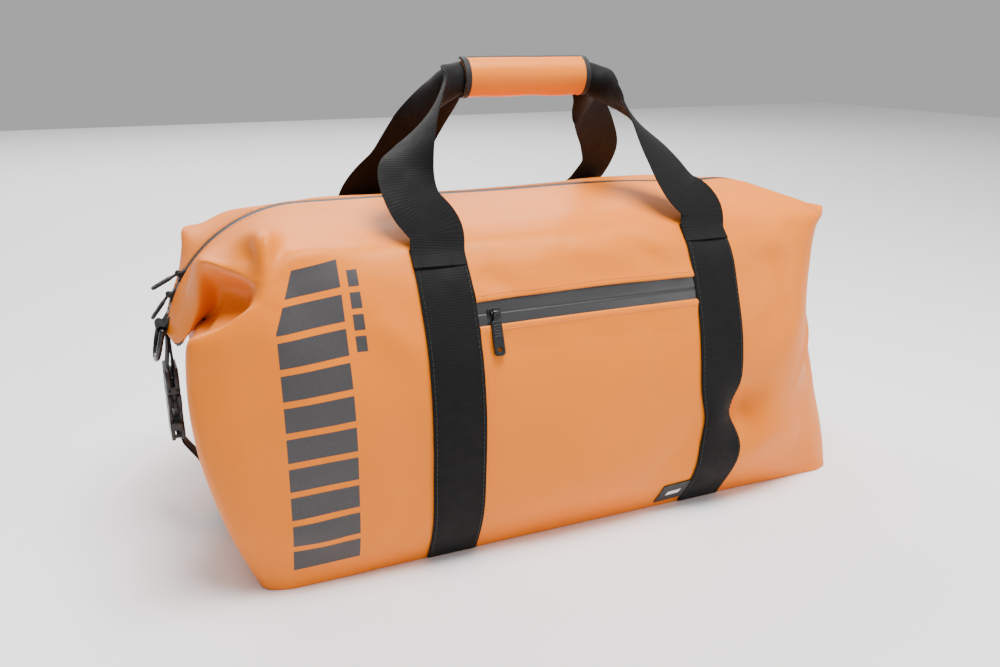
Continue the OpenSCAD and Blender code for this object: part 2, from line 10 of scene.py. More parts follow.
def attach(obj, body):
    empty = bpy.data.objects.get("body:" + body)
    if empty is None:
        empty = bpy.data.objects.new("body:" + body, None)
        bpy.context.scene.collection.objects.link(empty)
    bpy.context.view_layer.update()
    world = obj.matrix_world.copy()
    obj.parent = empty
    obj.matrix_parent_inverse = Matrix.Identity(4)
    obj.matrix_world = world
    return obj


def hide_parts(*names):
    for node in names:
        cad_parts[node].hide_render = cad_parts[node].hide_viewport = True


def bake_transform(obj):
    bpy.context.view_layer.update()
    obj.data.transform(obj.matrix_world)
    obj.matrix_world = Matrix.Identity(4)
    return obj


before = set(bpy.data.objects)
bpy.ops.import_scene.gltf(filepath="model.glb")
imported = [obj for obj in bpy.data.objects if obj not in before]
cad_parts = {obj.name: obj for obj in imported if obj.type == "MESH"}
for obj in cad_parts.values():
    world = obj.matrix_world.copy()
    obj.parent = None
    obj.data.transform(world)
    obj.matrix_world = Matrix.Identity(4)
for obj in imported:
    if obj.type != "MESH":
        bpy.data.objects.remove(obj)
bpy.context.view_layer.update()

# Soft weekender duffel bag. Shapes are worked out in millimetres in the frame's axes
# (+X along the bag, -Y out of the pocket side, +Z up) and turned to metres in make_mesh().
MM = 0.001
BAG = "bag"
LEFT, RIGHT = -1, 1
FRONT, BACK = -1, 1
FAR = 400                # farther out than any part of the bag


# ---- Camera ----------------------------------------------------------------------------------
def add_camera():
    data = bpy.data.cameras.new("camera")
    data.lens = 33.2
    camera = bpy.data.objects.new("camera", data)
    camera.location = (-0.354, -0.7604, 0.4055)
    pitch, yaw = 17.88, 23.62
    camera.rotation_euler = (math.radians(90 - pitch), 0, math.radians(-yaw))
    bpy.context.scene.collection.objects.link(camera)
    bpy.context.scene.camera = camera


add_camera()


# ---- Materials -------------------------------------------------------------------------------
class Nodes:
    """Short calls for building one procedural material."""

    def __init__(self, name, color, roughness, **sockets):
        self.material = bpy.data.materials.new(name)
        self.material.use_nodes = True
        self.tree = self.material.node_tree
        self.shader = self.tree.nodes["Principled BSDF"]
        self.shader.inputs["Base Color"].default_value = (*color, 1)
        self.shader.inputs["Roughness"].default_value = roughness
        for key, value in sockets.items():
            self.shader.inputs[key.replace("_", " ")].default_value = value
        self.coords = self.tree.nodes.new("ShaderNodeTexCoord")
        self.height = None

    def link(self, source, target):
        self.tree.links.new(source, target)

    def noise(self, scale, detail=3, rough=0.5):
        node = self.tree.nodes.new("ShaderNodeTexNoise")
        node.inputs["Scale"].default_value = scale
        node.inputs["Detail"].default_value = detail
        node.inputs["Roughness"].default_value = rough
        self.link(self.coords.outputs["Object"], node.inputs["Vector"])
        return node.outputs["Fac"]

    def wave(self, pitch, direction, output="UV", distortion=0.0):
        """Ridges a given distance apart, in metres, along one texture direction."""
        node = self.tree.nodes.new("ShaderNodeTexWave")
        node.bands_direction = direction
        node.inputs["Scale"].default_value = 0.314159 / pitch
        node.inputs["Distortion"].default_value = distortion
        self.link(self.coords.outputs[output], node.inputs["Vector"])
        return node.outputs["Fac"]

    def ramp(self, value, low, high, out_low=0.0, out_high=1.0):
        node = self.tree.nodes.new("ShaderNodeMapRange")
        for socket, number in zip(("From Min", "From Max", "To Min", "To Max"),
                                  (low, high, out_low, out_high)):
            node.inputs[socket].default_value = number
        self.link(value, node.inputs["Value"])
        return node.outputs["Result"]

    def multiply(self, a, b):
        node = self.tree.nodes.new("ShaderNodeMath")
        node.operation = "MULTIPLY"
        self.link(a, node.inputs[0])
        self.link(b, node.inputs[1])
        return node.outputs["Value"]

    def colors(self, factor, dark, light):
        node = self.tree.nodes.new("ShaderNodeMix")
        node.data_type = "RGBA"
        node.inputs["A"].default_value = (*dark, 1)
        node.inputs["B"].default_value = (*light, 1)
        self.link(factor, node.inputs["Factor"])
        self.link(node.outputs["Result"], self.shader.inputs["Base Color"])

    def roughen(self, factor, low, high):
        self.link(self.ramp(factor, 0, 1, low, high), self.shader.inputs["Roughness"])

    def bump(self, height, strength, distance):
        """Adds one layer of bump on top of the layers made before it."""
        node = self.tree.nodes.new("ShaderNodeBump")
        node.inputs["Strength"].default_value = strength
        node.inputs["Distance"].default_value = distance
        self.link(height, node.inputs["Height"])
        if self.height is not None:
            self.link(self.height, node.inputs["Normal"])
        self.height = node.outputs["Normal"]
        self.link(self.height, self.shader.inputs["Normal"])


def shade(color, factor):
    return tuple(c * factor for c in color)


ORANGE = (0.79, 0.187, 0.0)
WEB_BLACK = (0.0034, 0.0031, 0.0031)
TAPE_GREY = (0.015, 0.015, 0.0165)


def coated_fabric(name, roughness=0.46):
    """Tarpaulin: a satin coat with a fine grain over a barely visible weave."""
    m = Nodes(name, ORANGE, roughness, Specular_IOR_Level=0.34,
              Specular_Tint=(1.0, 0.78, 0.5, 1))
    m.colors(m.noise(9, 4, 0.6), shade(ORANGE, 0.94), shade(ORANGE, 1.04))
    m.roughen(m.noise(60, 3), roughness - 0.05, roughness + 0.07)
    m.bump(m.noise(14, 3, 0.5), 0.10, 0.004)
    m.bump(m.noise(1500, 2, 0.6), 0.10, 0.0002)
    return m.material


def webbing(name):
    """Ribbed polyester webbing: cross ribs, fine lengthwise yarns and a fuzzy sheen."""
    m = Nodes(name, WEB_BLACK, 0.72, Specular_IOR_Level=0.17, Sheen_Weight=0.03,
              Sheen_Roughness=0.4)
    ribs = m.wave(0.0021, "Y", distortion=0.12)
    yarns = m.wave(0.0011, "X", distortion=0.08)
    weave = m.multiply(ribs, m.ramp(yarns, 0, 1, 0.55, 1.0))
    worn = m.ramp(m.noise(45, 3), 0.3, 0.7, 0.6, 1.0)
    m.colors(m.multiply(weave, worn), shade(WEB_BLACK, 0.7), shade(WEB_BLACK, 1.5))
    m.roughen(m.noise(90, 2), 0.62, 0.85)
    m.bump(weave, 0.35, 0.0004)
    m.bump(m.noise(900, 2), 0.12, 0.0002)
    return m.material


def zip_coating(name):
    """Matt rubbery film on the waterproof zip tapes."""
    m = Nodes(name, TAPE_GREY, 0.38, Specular_IOR_Level=0.5)
    m.colors(m.noise(25, 3), shade(TAPE_GREY, 0.8), shade(TAPE_GREY, 1.35))
    m.roughen(m.noise(70, 3), 0.32, 0.46)
    m.bump(m.wave(0.0013, "Y"), 0.10, 0.0001)
    m.bump(m.noise(700, 2), 0.08, 0.0001)
    return m.material


def moulded(name, color, roughness, grain=900, **sockets):
    """Moulded or painted hard surface with a fine texture and light wear."""
    m = Nodes(name, color, roughness, **sockets)
    m.colors(m.noise(120, 4, 0.6), shade(color, 0.75), shade(color, 1.5))
    m.roughen(m.noise(220, 4, 0.65), roughness - 0.07, roughness + 0.12)
    m.bump(m.noise(grain, 2), 0.10, 0.00012)
    return m.material


def plain_weave(name, color, pitch, roughness=0.8, output="Object"):
    """Plain woven cloth or thread with crossing yarns."""
    m = Nodes(name, color, roughness, Specular_IOR_Level=0.3, Sheen_Weight=0.1)
    over = m.wave(pitch, "X", output)
    under = m.wave(pitch, "Z" if output == "Object" else "Y", output)
    m.colors(m.multiply(over, under), shade(color, 0.7), shade(color, 1.4))
    m.roughen(m.noise(80, 2), roughness - 0.06, roughness + 0.06)
    m.bump(m.multiply(over, under), 0.35, 0.0003)
    return m.material


def ink(name):
    """Dark screen print with a slight grain where the coat shows through."""
    color = (0.040, 0.037, 0.039)
    m = Nodes(name, color, 0.5, Specular_IOR_Level=0.4)
    m.colors(m.ramp(m.noise(650, 2, 0.7), 0.35, 0.7), shade(color, 0.92), shade(color, 1.15))
    m.roughen(m.noise(300, 2), 0.44, 0.58)
    m.bump(m.noise(14, 3, 0.5), 0.10, 0.004)
    m.bump(m.noise(1500, 2), 0.12, 0.0002)
    return m.material


def floor_paint(name):
    m = Nodes(name, (0.92, 0.92, 0.92), 0.6)
    m.colors(m.noise(0.8, 2), (0.90, 0.90, 0.90), (0.94, 0.94, 0.94))
    return m.material


MATERIALS = {
    "coated_fabric": coated_fabric("coated_fabric"),
    "grip_fabric": coated_fabric("grip_fabric", roughness=0.44),
    "webbing": webbing("webbing"),
    "zip_tape": zip_coating("zip_tape"),
    "zip_metal": moulded("zip_metal", (0.028, 0.028, 0.030), 0.34, Metallic=0.85),
    "ring_metal": moulded("ring_metal", (0.020, 0.020, 0.022), 0.26, Metallic=0.7,
                          Coat_Weight=0.3),
    "buckle_plastic": moulded("buckle_plastic", (0.0125, 0.0125, 0.0135), 0.36,
                              Specular_IOR_Level=0.5),
    "board": moulded("board", (0.03, 0.03, 0.03), 0.7, 400),
    "lining": plain_weave("lining", (0.035, 0.035, 0.038), 0.0011),
    "binding": plain_weave("binding", (0.013, 0.0125, 0.0125), 0.0014, 0.7, "UV"),
    "thread": plain_weave("thread", (0.80, 0.24, 0.045), 0.0006, 0.55),
    "thread_black": plain_weave("thread_black", (0.02, 0.02, 0.02), 0.0006, 0.55),
    "print": ink("print"),
    "label": moulded("label", (0.014, 0.014, 0.015), 0.55, 1200),
    "label_mark": moulded("label_mark", (0.62, 0.62, 0.62), 0.5, 1200),
    "floor": floor_paint("floor"),
}


# ---- Mesh helpers ----------------------------------------------------------------------------
def make_mesh(name, points, faces, materials, face_materials=None, uv=None, normals=None):
    """A mesh object from points in millimetres. uv and normals have one entry per point."""
    mesh = bpy.data.meshes.new(name)
    mesh.from_pydata((np.asarray(points, float) * MM).tolist(), [], faces)
    for material in materials:
        mesh.materials.append(MATERIALS[material])
    if face_materials is not None:
        mesh.polygons.foreach_set("material_index", face_materials)
    mesh.polygons.foreach_set("use_smooth", [True] * len(mesh.polygons))
    if uv is not None:
        layer = mesh.uv_layers.new(name="UVMap")
        index = np.zeros(len(mesh.loops), np.int32)
        mesh.loops.foreach_get("vertex_index", index)
        layer.data.foreach_set("uv", (np.asarray(uv, np.float32)[index] * MM).ravel())
    if normals is not None:
        mesh.normals_split_custom_set_from_vertices(np.asarray(normals, float).tolist())
    obj = bpy.data.objects.new(name, mesh)
    bpy.context.scene.collection.objects.link(obj)
    return obj


def apply_modifier(obj, kind, **settings):
    modifier = obj.modifiers.new(kind.lower(), kind)
    for key, value in settings.items():
        setattr(modifier, key, value)
    bpy.context.view_layer.objects.active = obj
    with bpy.context.temp_override(object=obj, active_object=obj):
        bpy.ops.object.modifier_apply(modifier=modifier.name)


def finish_piece(obj, body, slot, *nodes):
    """What every rigid piece is told: its body and the nodes it shows, whose own meshes are
    hidden. slot is not used.
    """
    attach(obj, body)
    if nodes:
        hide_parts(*nodes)
    return obj


def unit(v):
    v = np.asarray(v, float)
    return v / np.maximum(np.linalg.norm(v, axis=-1, keepdims=True), 1e-9)


def spline(points, counts):
    """Smooth curve through points of any shape [n, ...]. Tangents are weighted by the
    distances between the points, so tight folds don't overshoot. counts has the number
    of steps between each pair of points, or one number for all of them."""
    p = np.asarray(points, float)
    n = len(p)
    counts = [counts] * (n - 1) if np.isscalar(counts) else counts
    flat = p.reshape(n, -1)
    step = np.maximum(np.linalg.norm(np.diff(flat, axis=0), axis=1), 1e-6)
    slope = np.diff(flat, axis=0) / step[:, None]
    tangent = np.empty_like(flat)
    tangent[0], tangent[-1] = slope[0], slope[-1]
    before, after = step[:-1, None], step[1:, None]
    tangent[1:-1] = (slope[:-1] * after + slope[1:] * before) / (before + after)
    out = []
    for i in range(n - 1):
        for k in range(counts[i]):
            t = k / counts[i]
            t2, t3 = t * t, t * t * t
            out.append((2 * t3 - 3 * t2 + 1) * flat[i] + (t3 - 2 * t2 + t) * step[i] * tangent[i]
                       + (3 * t2 - 2 * t3) * flat[i + 1]
                       + (t3 - t2) * step[i] * tangent[i + 1])
    out.append(flat[-1])
    return np.array(out).reshape(-1, *p.shape[1:])


def resample(path, spacing):
    """Points at even distances along a polyline."""
    path = np.asarray(path, float)
    along = np.concatenate([[0], np.cumsum(np.linalg.norm(np.diff(path, axis=0), axis=1))])
    count = max(2, int(round(along[-1] / spacing)) + 1)
    where = np.linspace(0, along[-1], count)
    return np.stack([np.interp(where, along, path[:, k]) for k in range(path.shape[1])], 1)


def grid_faces(rows, cols, start=0, flip=False):
    i, j = np.meshgrid(np.arange(rows - 1), np.arange(cols - 1), indexing="ij")
    a = start + (i * cols + j).ravel()
    quads = np.stack([a, a + cols, a + cols + 1, a + 1], 1)
    return (quads[:, ::-1] if flip else quads).tolist()


def rim_faces(rows, cols, flip=False):
    """Faces that join the edges of a sheet of points to those of its copy after it."""
    i, j = np.arange(rows), np.arange(cols)
    loop = np.concatenate([i * cols, (rows - 1) * cols + j[1:],
                           i[::-1][1:] * cols + cols - 1, j[::-1][1:]])
    a, b, copy = loop[:-1], loop[1:], rows * cols
    quads = np.stack([a + copy, b + copy, b, a], 1)
    return (quads[:, ::-1] if flip else quads).tolist()


def grid_normals(grid, flip=False):
    normal = unit(np.cross(np.gradient(grid, axis=0), np.gradient(grid, axis=1)))
    return -normal if flip else normal


def grid_lengths(grid, axis):
    """Distance of each point from the first one of its line, along the surface."""
    step = np.linalg.norm(np.diff(grid, axis=axis), axis=2)
    return np.insert(np.cumsum(step, axis=axis), 0, 0, axis=axis)


def slab(name, grid, rise, fall, materials, flip=False, normal=None, uv=None):
    """A closed sheet round a grid of points, from fall below it to rise above it. The
    last of the materials is for the lower side."""
    rows, cols = grid.shape[:2]
    normal = grid_normals(grid, flip) if normal is None else normal
    up = np.broadcast_to(np.asarray(rise, float), (rows, cols))[..., None]
    down = np.broadcast_to(np.asarray(fall, float), (rows, cols))[..., None]
    points = np.concatenate([(grid + normal * up).reshape(-1, 3),
                             (grid - normal * down).reshape(-1, 3)])
    outer = grid_faces(rows, cols, 0, flip)
    inner = grid_faces(rows, cols, rows * cols, not flip)
    rim = rim_faces(rows, cols, flip)
    skins = [0] * len(outer) + [len(materials) - 1] * len(inner) + [0] * len(rim)
    if uv is None:
        uv = np.stack([grid_lengths(grid, 1), grid_lengths(grid, 0)], -1)
    uv = uv.reshape(-1, 2)
    normals = np.concatenate([normal.reshape(-1, 3), -normal.reshape(-1, 3)])
    return make_mesh(name, points, outer + inner + rim, materials, skins,
                     np.concatenate([uv, uv]), normals)


def sweep_frames(path):
    """Tangents and two crossing directions along a path, without twist."""
    tangent = unit(np.gradient(path, axis=0))
    start = np.eye(3)[np.argmin(np.abs(tangent[0]))]
    side = [unit(np.cross(tangent[0], start))]
    for t in tangent[1:]:
        side.append(unit(side[-1] - t * np.dot(side[-1], t)))
    side = np.array(side)
    return tangent, side, np.cross(tangent, side)


def tube_data(path, radius, sides=10):
    """Points and faces of a round tube, whose ends get a small dome."""
    path = np.asarray(path, float)
    tangent, side, up = sweep_frames(path)
    dome = 0.3 * radius * tangent[[0, -1]] * [[-1], [1]]
    path = np.concatenate([[path[0] + dome[0]], path, [path[-1] + dome[1]]])
    radii = np.array([0.6, *[1] * len(side), 0.6]) * radius
    side, up = side[[0, *range(len(side)), -1]], up[[0, *range(len(up)), -1]]
    turn = np.linspace(0, 2 * np.pi, sides, endpoint=False)[None, :, None]
    ring = np.cos(turn) * side[:, None] + np.sin(turn) * up[:, None]
    points = (path[:, None] + ring * radii[:, None, None]).reshape(-1, 3)
    last = (len(path) - 1) * sides
    faces = []
    for start in range(0, last, sides):
        for k in range(sides):
            a, b = start + k, start + (k + 1) % sides
            faces.append([a, b, b + sides, a + sides])
    faces.append(list(range(sides))[::-1])
    faces.append([last + k for k in range(sides)])
    return points, faces


def plate_data(outlines, thickness, bevel):
    """Points and faces of a flat plate in the XY plane with softly bevelled edges. The
    first outline is the outer one, the others are holes."""
    curve = bpy.data.curves.new("plate", "CURVE")
    curve.dimensions = "2D"
    curve.fill_mode = "BOTH"
    curve.extrude = thickness / 2 - bevel
    curve.bevel_depth = bevel
    curve.bevel_resolution = 2
    curve.offset = -bevel
    for outline in outlines:
        line = curve.splines.new("POLY")
        line.points.add(len(outline) - 1)
        for point, (x, y) in zip(line.points, outline):
            point.co = (x, y, 0, 1)
        line.use_cyclic_u = True
    obj = bpy.data.objects.new("plate", curve)
    mesh = bpy.data.meshes.new_from_object(obj)
    points = np.array([v.co[:] for v in mesh.vertices])
    faces = [list(p.vertices) for p in mesh.polygons]
    bpy.data.objects.remove(obj)
    bpy.data.curves.remove(curve)
    bpy.data.meshes.remove(mesh)
    return points, faces


def rounded(outline, radius):
    """The outline with its corners rounded."""
    count = len(outline)
    out = []
    for i in range(count):
        before, at, after = (np.array(outline[(i + k) % count], float) for k in (-1, 0, 1))
        back, ahead = before - at, after - at
        reach = min(radius, 0.49 * np.linalg.norm(back), 0.49 * np.linalg.norm(ahead))
        p, q = at + unit(back) * reach, at + unit(ahead) * reach
        for t in np.linspace(0, 1, 5):
            out.append(tuple((1 - t) ** 2 * p + 2 * t * (1 - t) * at + t * t * q))
    return out


def block(half, low, high, radius):
    """Rounded rectangle from low to high, half to each side of the middle."""
    return rounded([(-half, low), (half, low), (half, high), (-half, high)], radius)


def circle(x, radius, count=20):
    turn = np.linspace(0, 2 * np.pi, count, endpoint=False)
    return [(x + radius * math.cos(t), radius * math.sin(t)) for t in turn]


def axes(origin, x, y, z):
    """Matrix that puts a shape's own axes along x, y and z at origin, in millimetres."""
    matrix = Matrix.Identity(4)
    for column, vector in enumerate((x, y, z, origin)):
        for row in range(3):
            matrix[row][column] = float(vector[row])
    return matrix


def placed(points, matrix):
    matrix = np.array(matrix)
    return points @ matrix[:3, :3].T + matrix[:3, 3]


SHARP_ANGLE = 35         # edges between faces at more than this stay sharp


class Solid:
    """Gathers the closed shapes of one hard piece."""

    def __init__(self, material):
        self.material, self.points, self.faces = material, [], []

    def add(self, data, place=None):
        points, faces = np.asarray(data[0], float), data[1]
        start = sum(len(p) for p in self.points)
        self.points.append(points if place is None else placed(points, place))
        self.faces += [[start + v for v in face] for face in faces]
        return self

    def place(self, matrix):
        self.points = [placed(p, matrix) for p in self.points]
        return self

    def make(self, name):
        obj = make_mesh(name, np.concatenate(self.points), self.faces, [self.material])
        bm = bmesh.new()
        bm.from_mesh(obj.data)
        bmesh.ops.remove_doubles(bm, verts=bm.verts, dist=0.00001)
        bmesh.ops.recalc_face_normals(bm, faces=bm.faces)
        bm.to_mesh(obj.data)
        bm.free()
        obj.data.set_sharp_from_angle(angle=math.radians(SHARP_ANGLE))
        apply_modifier(obj, "WEIGHTED_NORMAL", keep_sharp=True)
        return obj


def stitches(solid, path, normals, pitch=3.6, length=2.5, radius=0.32):
    """Adds thread as short stitches along a path, each dipping into the cloth."""
    along = np.insert(np.cumsum(np.linalg.norm(np.diff(path, axis=0), axis=1)), 0, 0)
    for s in np.arange(pitch / 2, along[-1] - pitch / 2, pitch):
        line = []
        for t, height in ((-0.5, -0.35), (-0.3, 0.75), (0, 1.0), (0.3, 0.75), (0.5, -0.35)):
            p, n = (np.array([np.interp(s + t * length, along, v[:, k]) for k in range(3)])
                    for v in (path, normals))
            line.append(p + n * radius * height)
        solid.add(tube_data(line, radius, 6))
    return solid


# ---- Shape of the bag's shell ----------------------------------------------------------------
# The shell is a cage of points from the base (first row) to the zip (last row). Each end
# column is given as [distance out along the bag, distance from the middle plane, height].
ARC_X, ARC_Z, ARC_R, ARC_END = 203, 160, 115, 72      # the zip's curve over each end
ZIP_GAP = 6.5            # the shell's upper edge from the middle plane
POCKET_Z, POCKET_HALF = 204, 101                      # the pocket zip's height and half length
SHELL_T = 1.1            # thickness of the coated fabric
ROW_STEPS = [6, 8, 7, 7, 8, 7, 7, 7, 8, 8, 7]
COLUMN_STEPS = [8, 9, 9, 8, 8, 9, 10, 9, 10, 10]
SHOULDER_ROW = sum(ROW_STEPS[:7])

LEFT_END = [
    # the end seam: up the end wall, behind the folded ear and out again to its hem
    [(276, 0, 0), (289, 0, 32), (299, 0, 85), (301, 0, 130), (300, 0, 168), (299, 0, 184),
     (298, 0, 198), (306, 0, 196), (317, 0, 177), (318.5, 2, 179), (317.6, 4, 180.5),
     (316.6, 6.5, 182)],
    [(276, 45, 0), (289, 45, 32), (300, 45, 85), (303, 45, 130), (302, 45, 168),
     (300, 44, 188), (291, 38, 197), (297, 33, 192), (310, 40, 177), (313, 31, 183),
     (313, 18, 192), (310, 6.5, 203.5)],
    [(276, 90, 0), (289, 88, 32), (301, 88, 85), (306, 87, 130), (307, 87, 170),
     (304, 86, 194), (288, 64, 198), (281, 48, 206), (296, 55, 208), (301, 44, 211),
     (301, 24, 218), (298, 6.5, 226.5)],
    # the corner of the wall and the outer corner of the ear
    [(270, 126, 0), (283, 128, 32), (301, 129, 85), (309, 128, 130), (312, 126, 170),
     (308, 126, 207), (290, 92, 204), (276, 58, 218), (291, 67, 247), (292, 54, 247),
     (287, 28, 243.5), (281, 6.5, 246.2)],
    [(258, 131, 0), (271, 136, 32), (287, 139, 85), (292, 138, 130), (294, 135, 172),
     (290, 131, 214), (273, 108, 213), (263, 86, 224), (274, 93, 246), (272, 82, 252.5),
     (265, 44, 259.5), (261, 6.5, 260.2)],
    # the end of the fold, with the peak above it
    [(240, 132, 0), (251, 140, 32), (262, 145, 85), (264, 145, 130), (264, 141, 175),
     (262, 132, 226), (259, 128, 233), (257, 125.5, 238), (255, 122, 244), (251, 109, 267),
     (246, 56, 269.5), (241, 6.5, 269.3)],
    [(215, 132, 0), (222, 144, 32), (227, 150, 85), (229, 151, 130), (229, 147, 175),
     (229, 137, 212), (230, 130, 229), (232, 124, 243), (235, 118, 256), (232, 98, 263.5),
     (226, 54, 270.5), (219, 6.5, 274.4)],
]
RIGHT_END = [
    LEFT_END[0],
    [(276, 45, 0), (286, 45, 32), (292, 45, 85), (292, 45, 130), (291, 45, 168),
     (291, 42, 190), (290, 38, 205), (297, 34, 198), (307, 33, 178), (311, 26, 184),
     (312, 17, 193), (310, 6.5, 203.5)],
    [(276, 90, 0), (280, 88, 32), (279, 83, 85), (275, 78, 130), (271, 74, 170),
     (274, 66, 196), (279, 57, 211), (284, 52, 212), (290, 49, 210), (299, 41, 213),
     (301, 24, 219), (298, 6.5, 226.5)],
    [(275, 126, 0), (269, 125, 30), (256, 119, 85), (247, 113, 130), (243, 106, 170),
     (251, 94, 205), (265, 79, 225), (280, 72, 238), (291, 67, 247.5), (291, 53, 247),
     (287, 28, 244), (281, 6.5, 246.2)],
    [(262, 132, 0), (252, 134, 30), (238, 133, 85), (231, 130, 130), (230, 126, 172),
     (236, 119, 205), (247, 109, 227), (259, 99, 239), (270, 91, 246), (270, 78, 251),
     (265, 42, 256), (261, 6.5, 259.4)],
    [(242, 132, 0), (229, 138, 30), (218, 142, 85), (214, 142, 130), (214, 138, 172),
     (219, 131, 205), (227, 124, 224), (235, 118, 238), (244, 112, 249), (247, 98, 255),
     (246, 54, 262), (241, 6.5, 267)],
    [(215, 132, 0), (205, 143, 30), (198, 149, 85), (196, 150, 130), (196, 146, 172),
     (199, 138, 205), (204, 131, 224), (210, 124, 239), (217, 116, 250.5), (221, 98, 257),
     (221, 54, 264), (219, 6.5, 271.5)],
]
# Section of the front between the ends, from the base up to the zip: [from the middle, height]
MIDDLE = [(131, 0), (147.5, 32), (155.5, 85), (156, 130), (150.5, 170), (138.5, 207),
          (130, 227), (122, 241), (111, 253), (91, 261), (52, 269), (6.5, 275.4)]
MIDDLE_X = [172, 121, 60, 0]


def half_columns(end, side):
    ends = [[(side * x, y, z) for x, y, z in column] for column in end]
    return ends + [[(side * x, y, z) for y, z in MIDDLE] for x in MIDDLE_X]


def shell_grid(left, right, face):
    """Dense points of one side of the shell, [columns from the left end, rows up]."""
    cage = np.array(half_columns(left, LEFT) + half_columns(right, RIGHT)[-2::-1], float)
    up = np.stack([spline(column, ROW_STEPS) for column in cage])
    steps = COLUMN_STEPS + COLUMN_STEPS[::-1]
    grid = np.stack([spline(up[:, k], steps) for k in range(up.shape[1])], 1)
    grid[..., 1] *= face
    return grid


# Soft dents (negative) and swellings (positive): centre, reach along each axis, height
FRONT_WAVES = [
    ((-262, -97, 256), (8, 15, 11), -7), ((-250, -106, 266), (6, 12, 8), 3),
    ((150, -150, 92), (20, 60, 24), -17), ((150, -150, 56), (40, 60, 22), 4),
    ((20, -130, 222), (45, 40, 16), -4), ((62, -135, 232), (26, 40, 14), 4),
    ((-40, -135, 228), (40, 40, 15), 3), ((-165, -150, 150), (22, 60, 70), -3),
    ((175, -150, 215), (26, 60, 30), -5), ((200, -145, 160), (24, 60, 45), 4),
    ((-205, -150, 190), (30, 60, 40), -4), ((0, -150, 60), (80, 60, 30), 3),
    ((-30, -60, 268), (50, 34, 30), -2.5), ((60, -60, 268), (36, 30, 30), 2),
    ((170, -70, 266), (26, 40, 30), -3), ((-170, -60, 268), (36, 40, 30), 2),
    ((-121, -118, 246), (34, 16, 16), -3), ((121, -118, 246), (34, 16, 16), -4),
]
BACK_WAVES = [
    ((-150, 150, 100), (26, 60, 30), -8), ((150, 150, 190), (34, 60, 36), -4),
    ((0, 150, 225), (70, 40, 16), -4), ((40, 150, 110), (70, 60, 50), 3),
    ((-60, 60, 268), (50, 34, 30), -3), ((120, 60, 268), (46, 34, 30), 2),
    ((200, 150, 120), (30, 60, 50), 4), ((-215, 150, 160), (30, 60, 50), -4),
]


# Narrow creases: the two ends of each, its reach and height
FRONT_CREASES = [
    ((252, -108, 178), (213, -143, 106), 6, 3.2), ((262, -104, 160), (236, -132, 96), 13, -4),
    ((-252, -108, 266), (-256, -122, 246), 5, 2.5), ((-150, -146, 178), (-182, -142, 214), 14, 3),
    ((-96, -126, 232), (-60, -134, 214), 10, -3.5), ((96, -128, 230), (70, -134, 216), 9, -3),
    ((-20, -118, 246), (40, -130, 226), 15, 3.5), ((40, -122, 240), (78, -132, 222), 10, -4.5),
    ((172, -146, 70), (228, -140, 52), 12, 4), ((160, -148, 150), (196, -146, 190), 13, -3),
    ((-262, -140, 60), (-210, -148, 44), 14, 3), ((150, -130, 236), (206, -124, 230), 12, 3),
    ((-168, -148, 40), (-150, -148, 110), 12, -3), ((60, -150, 40), (96, -150, 80), 14, -3.5),
]
BACK_CREASES = [
    ((230, 128, 110), (170, 150, 60), 12, 4), ((-225, 130, 120), (-170, 150, 180), 12, -4),
    ((-40, 132, 222), (60, 126, 236), 14, -4), ((20, 150, 60), (90, 150, 120), 16, 3),
]


def crease_lift(grid, creases):
    lift = 0
    for start, end, reach, height in creases:
        start, line = np.array(start, float), np.subtract(end, start)
        t = np.clip((grid - start) @ line / (line @ line), 0, 1)
        gap = np.linalg.norm(grid - start - t[..., None] * line, axis=-1) / reach
        fade = np.sin(np.pi * np.clip(t, 0.06, 0.94)) ** 0.7
        lift = lift + height * fade * np.exp(-gap ** 2)
    return lift


def sag(x):
    """How far the ridge sinks below its full height."""
    return 5 * np.exp(-((x - 185) / 62) ** 2) + 1.2 * np.exp(-((x + 30) / 70) ** 2)


def meet_zip(grid, face):
    """Moves the last rows so that the edge lies along the zip."""
    edge = grid[:, -1]
    reach = edge[:, [0, 2]] - np.stack([np.clip(edge[:, 0], -ARC_X, ARC_X),
                                        np.full(len(edge), ARC_Z)], 1)
    on_arc = np.where(np.abs(edge[:, 0]) > ARC_X, np.linalg.norm(reach, axis=1), reach[:, 1])
    target = edge.copy()
    target[:, [0, 2]] += reach * ((ARC_R + 0.55) / on_arc - 1)[:, None]
    target[:, 1] = face * ZIP_GAP
    target[:, 2] -= sag(edge[:, 0])
    inside = np.degrees(np.arctan2(np.abs(reach[:, 0]), reach[:, 1])) < ARC_END + 3
    shift = (target - edge) * inside[:, None]
    for back_by in range(8):
        grid[:, -1 - back_by] += shift * (1 - back_by / 8)
    return grid


def wrinkle(grid, waves, creases, face):
    """Adds the soft waves and a gentle unevenness, fading out at the base and the zip."""
    normal = grid_normals(grid, flip=face > 0)
    lift = crease_lift(grid, creases)
    for centre, reach, height in waves:
        gap = (grid - np.array(centre)) / np.array(reach)
        lift += height * np.exp(-np.sum(gap * gap, axis=-1))
    for i in range(grid.shape[0]):
        for j in range(grid.shape[1]):
            x, y, z = grid[i, j] * MM
            lift[i, j] += 2.2 * noise.noise(Vector((7 * x + 3, 5 * y * face, 9 * z + face)))
            lift[i, j] += 0.7 * noise.noise(Vector((26 * x, 20 * y + face, 30 * z)))
    columns, rows = (np.arange(count) for count in grid.shape[:2])
    fade = np.clip(rows / 6, 0, 1) * np.clip((rows[-1] - rows) / 10, 0, 1)
    ends = np.clip(np.minimum(columns, columns[::-1]) / 8, 0, 1)
    if face == FRONT:
        near = np.exp(-((grid[..., 2] - POCKET_Z) / 20) ** 2) * (np.abs(grid[..., 0]) < 112)
        lift *= 1 - 0.85 * near
    return meet_zip(grid + normal * (lift * fade[None, :] * ends[:, None])[..., None], face)


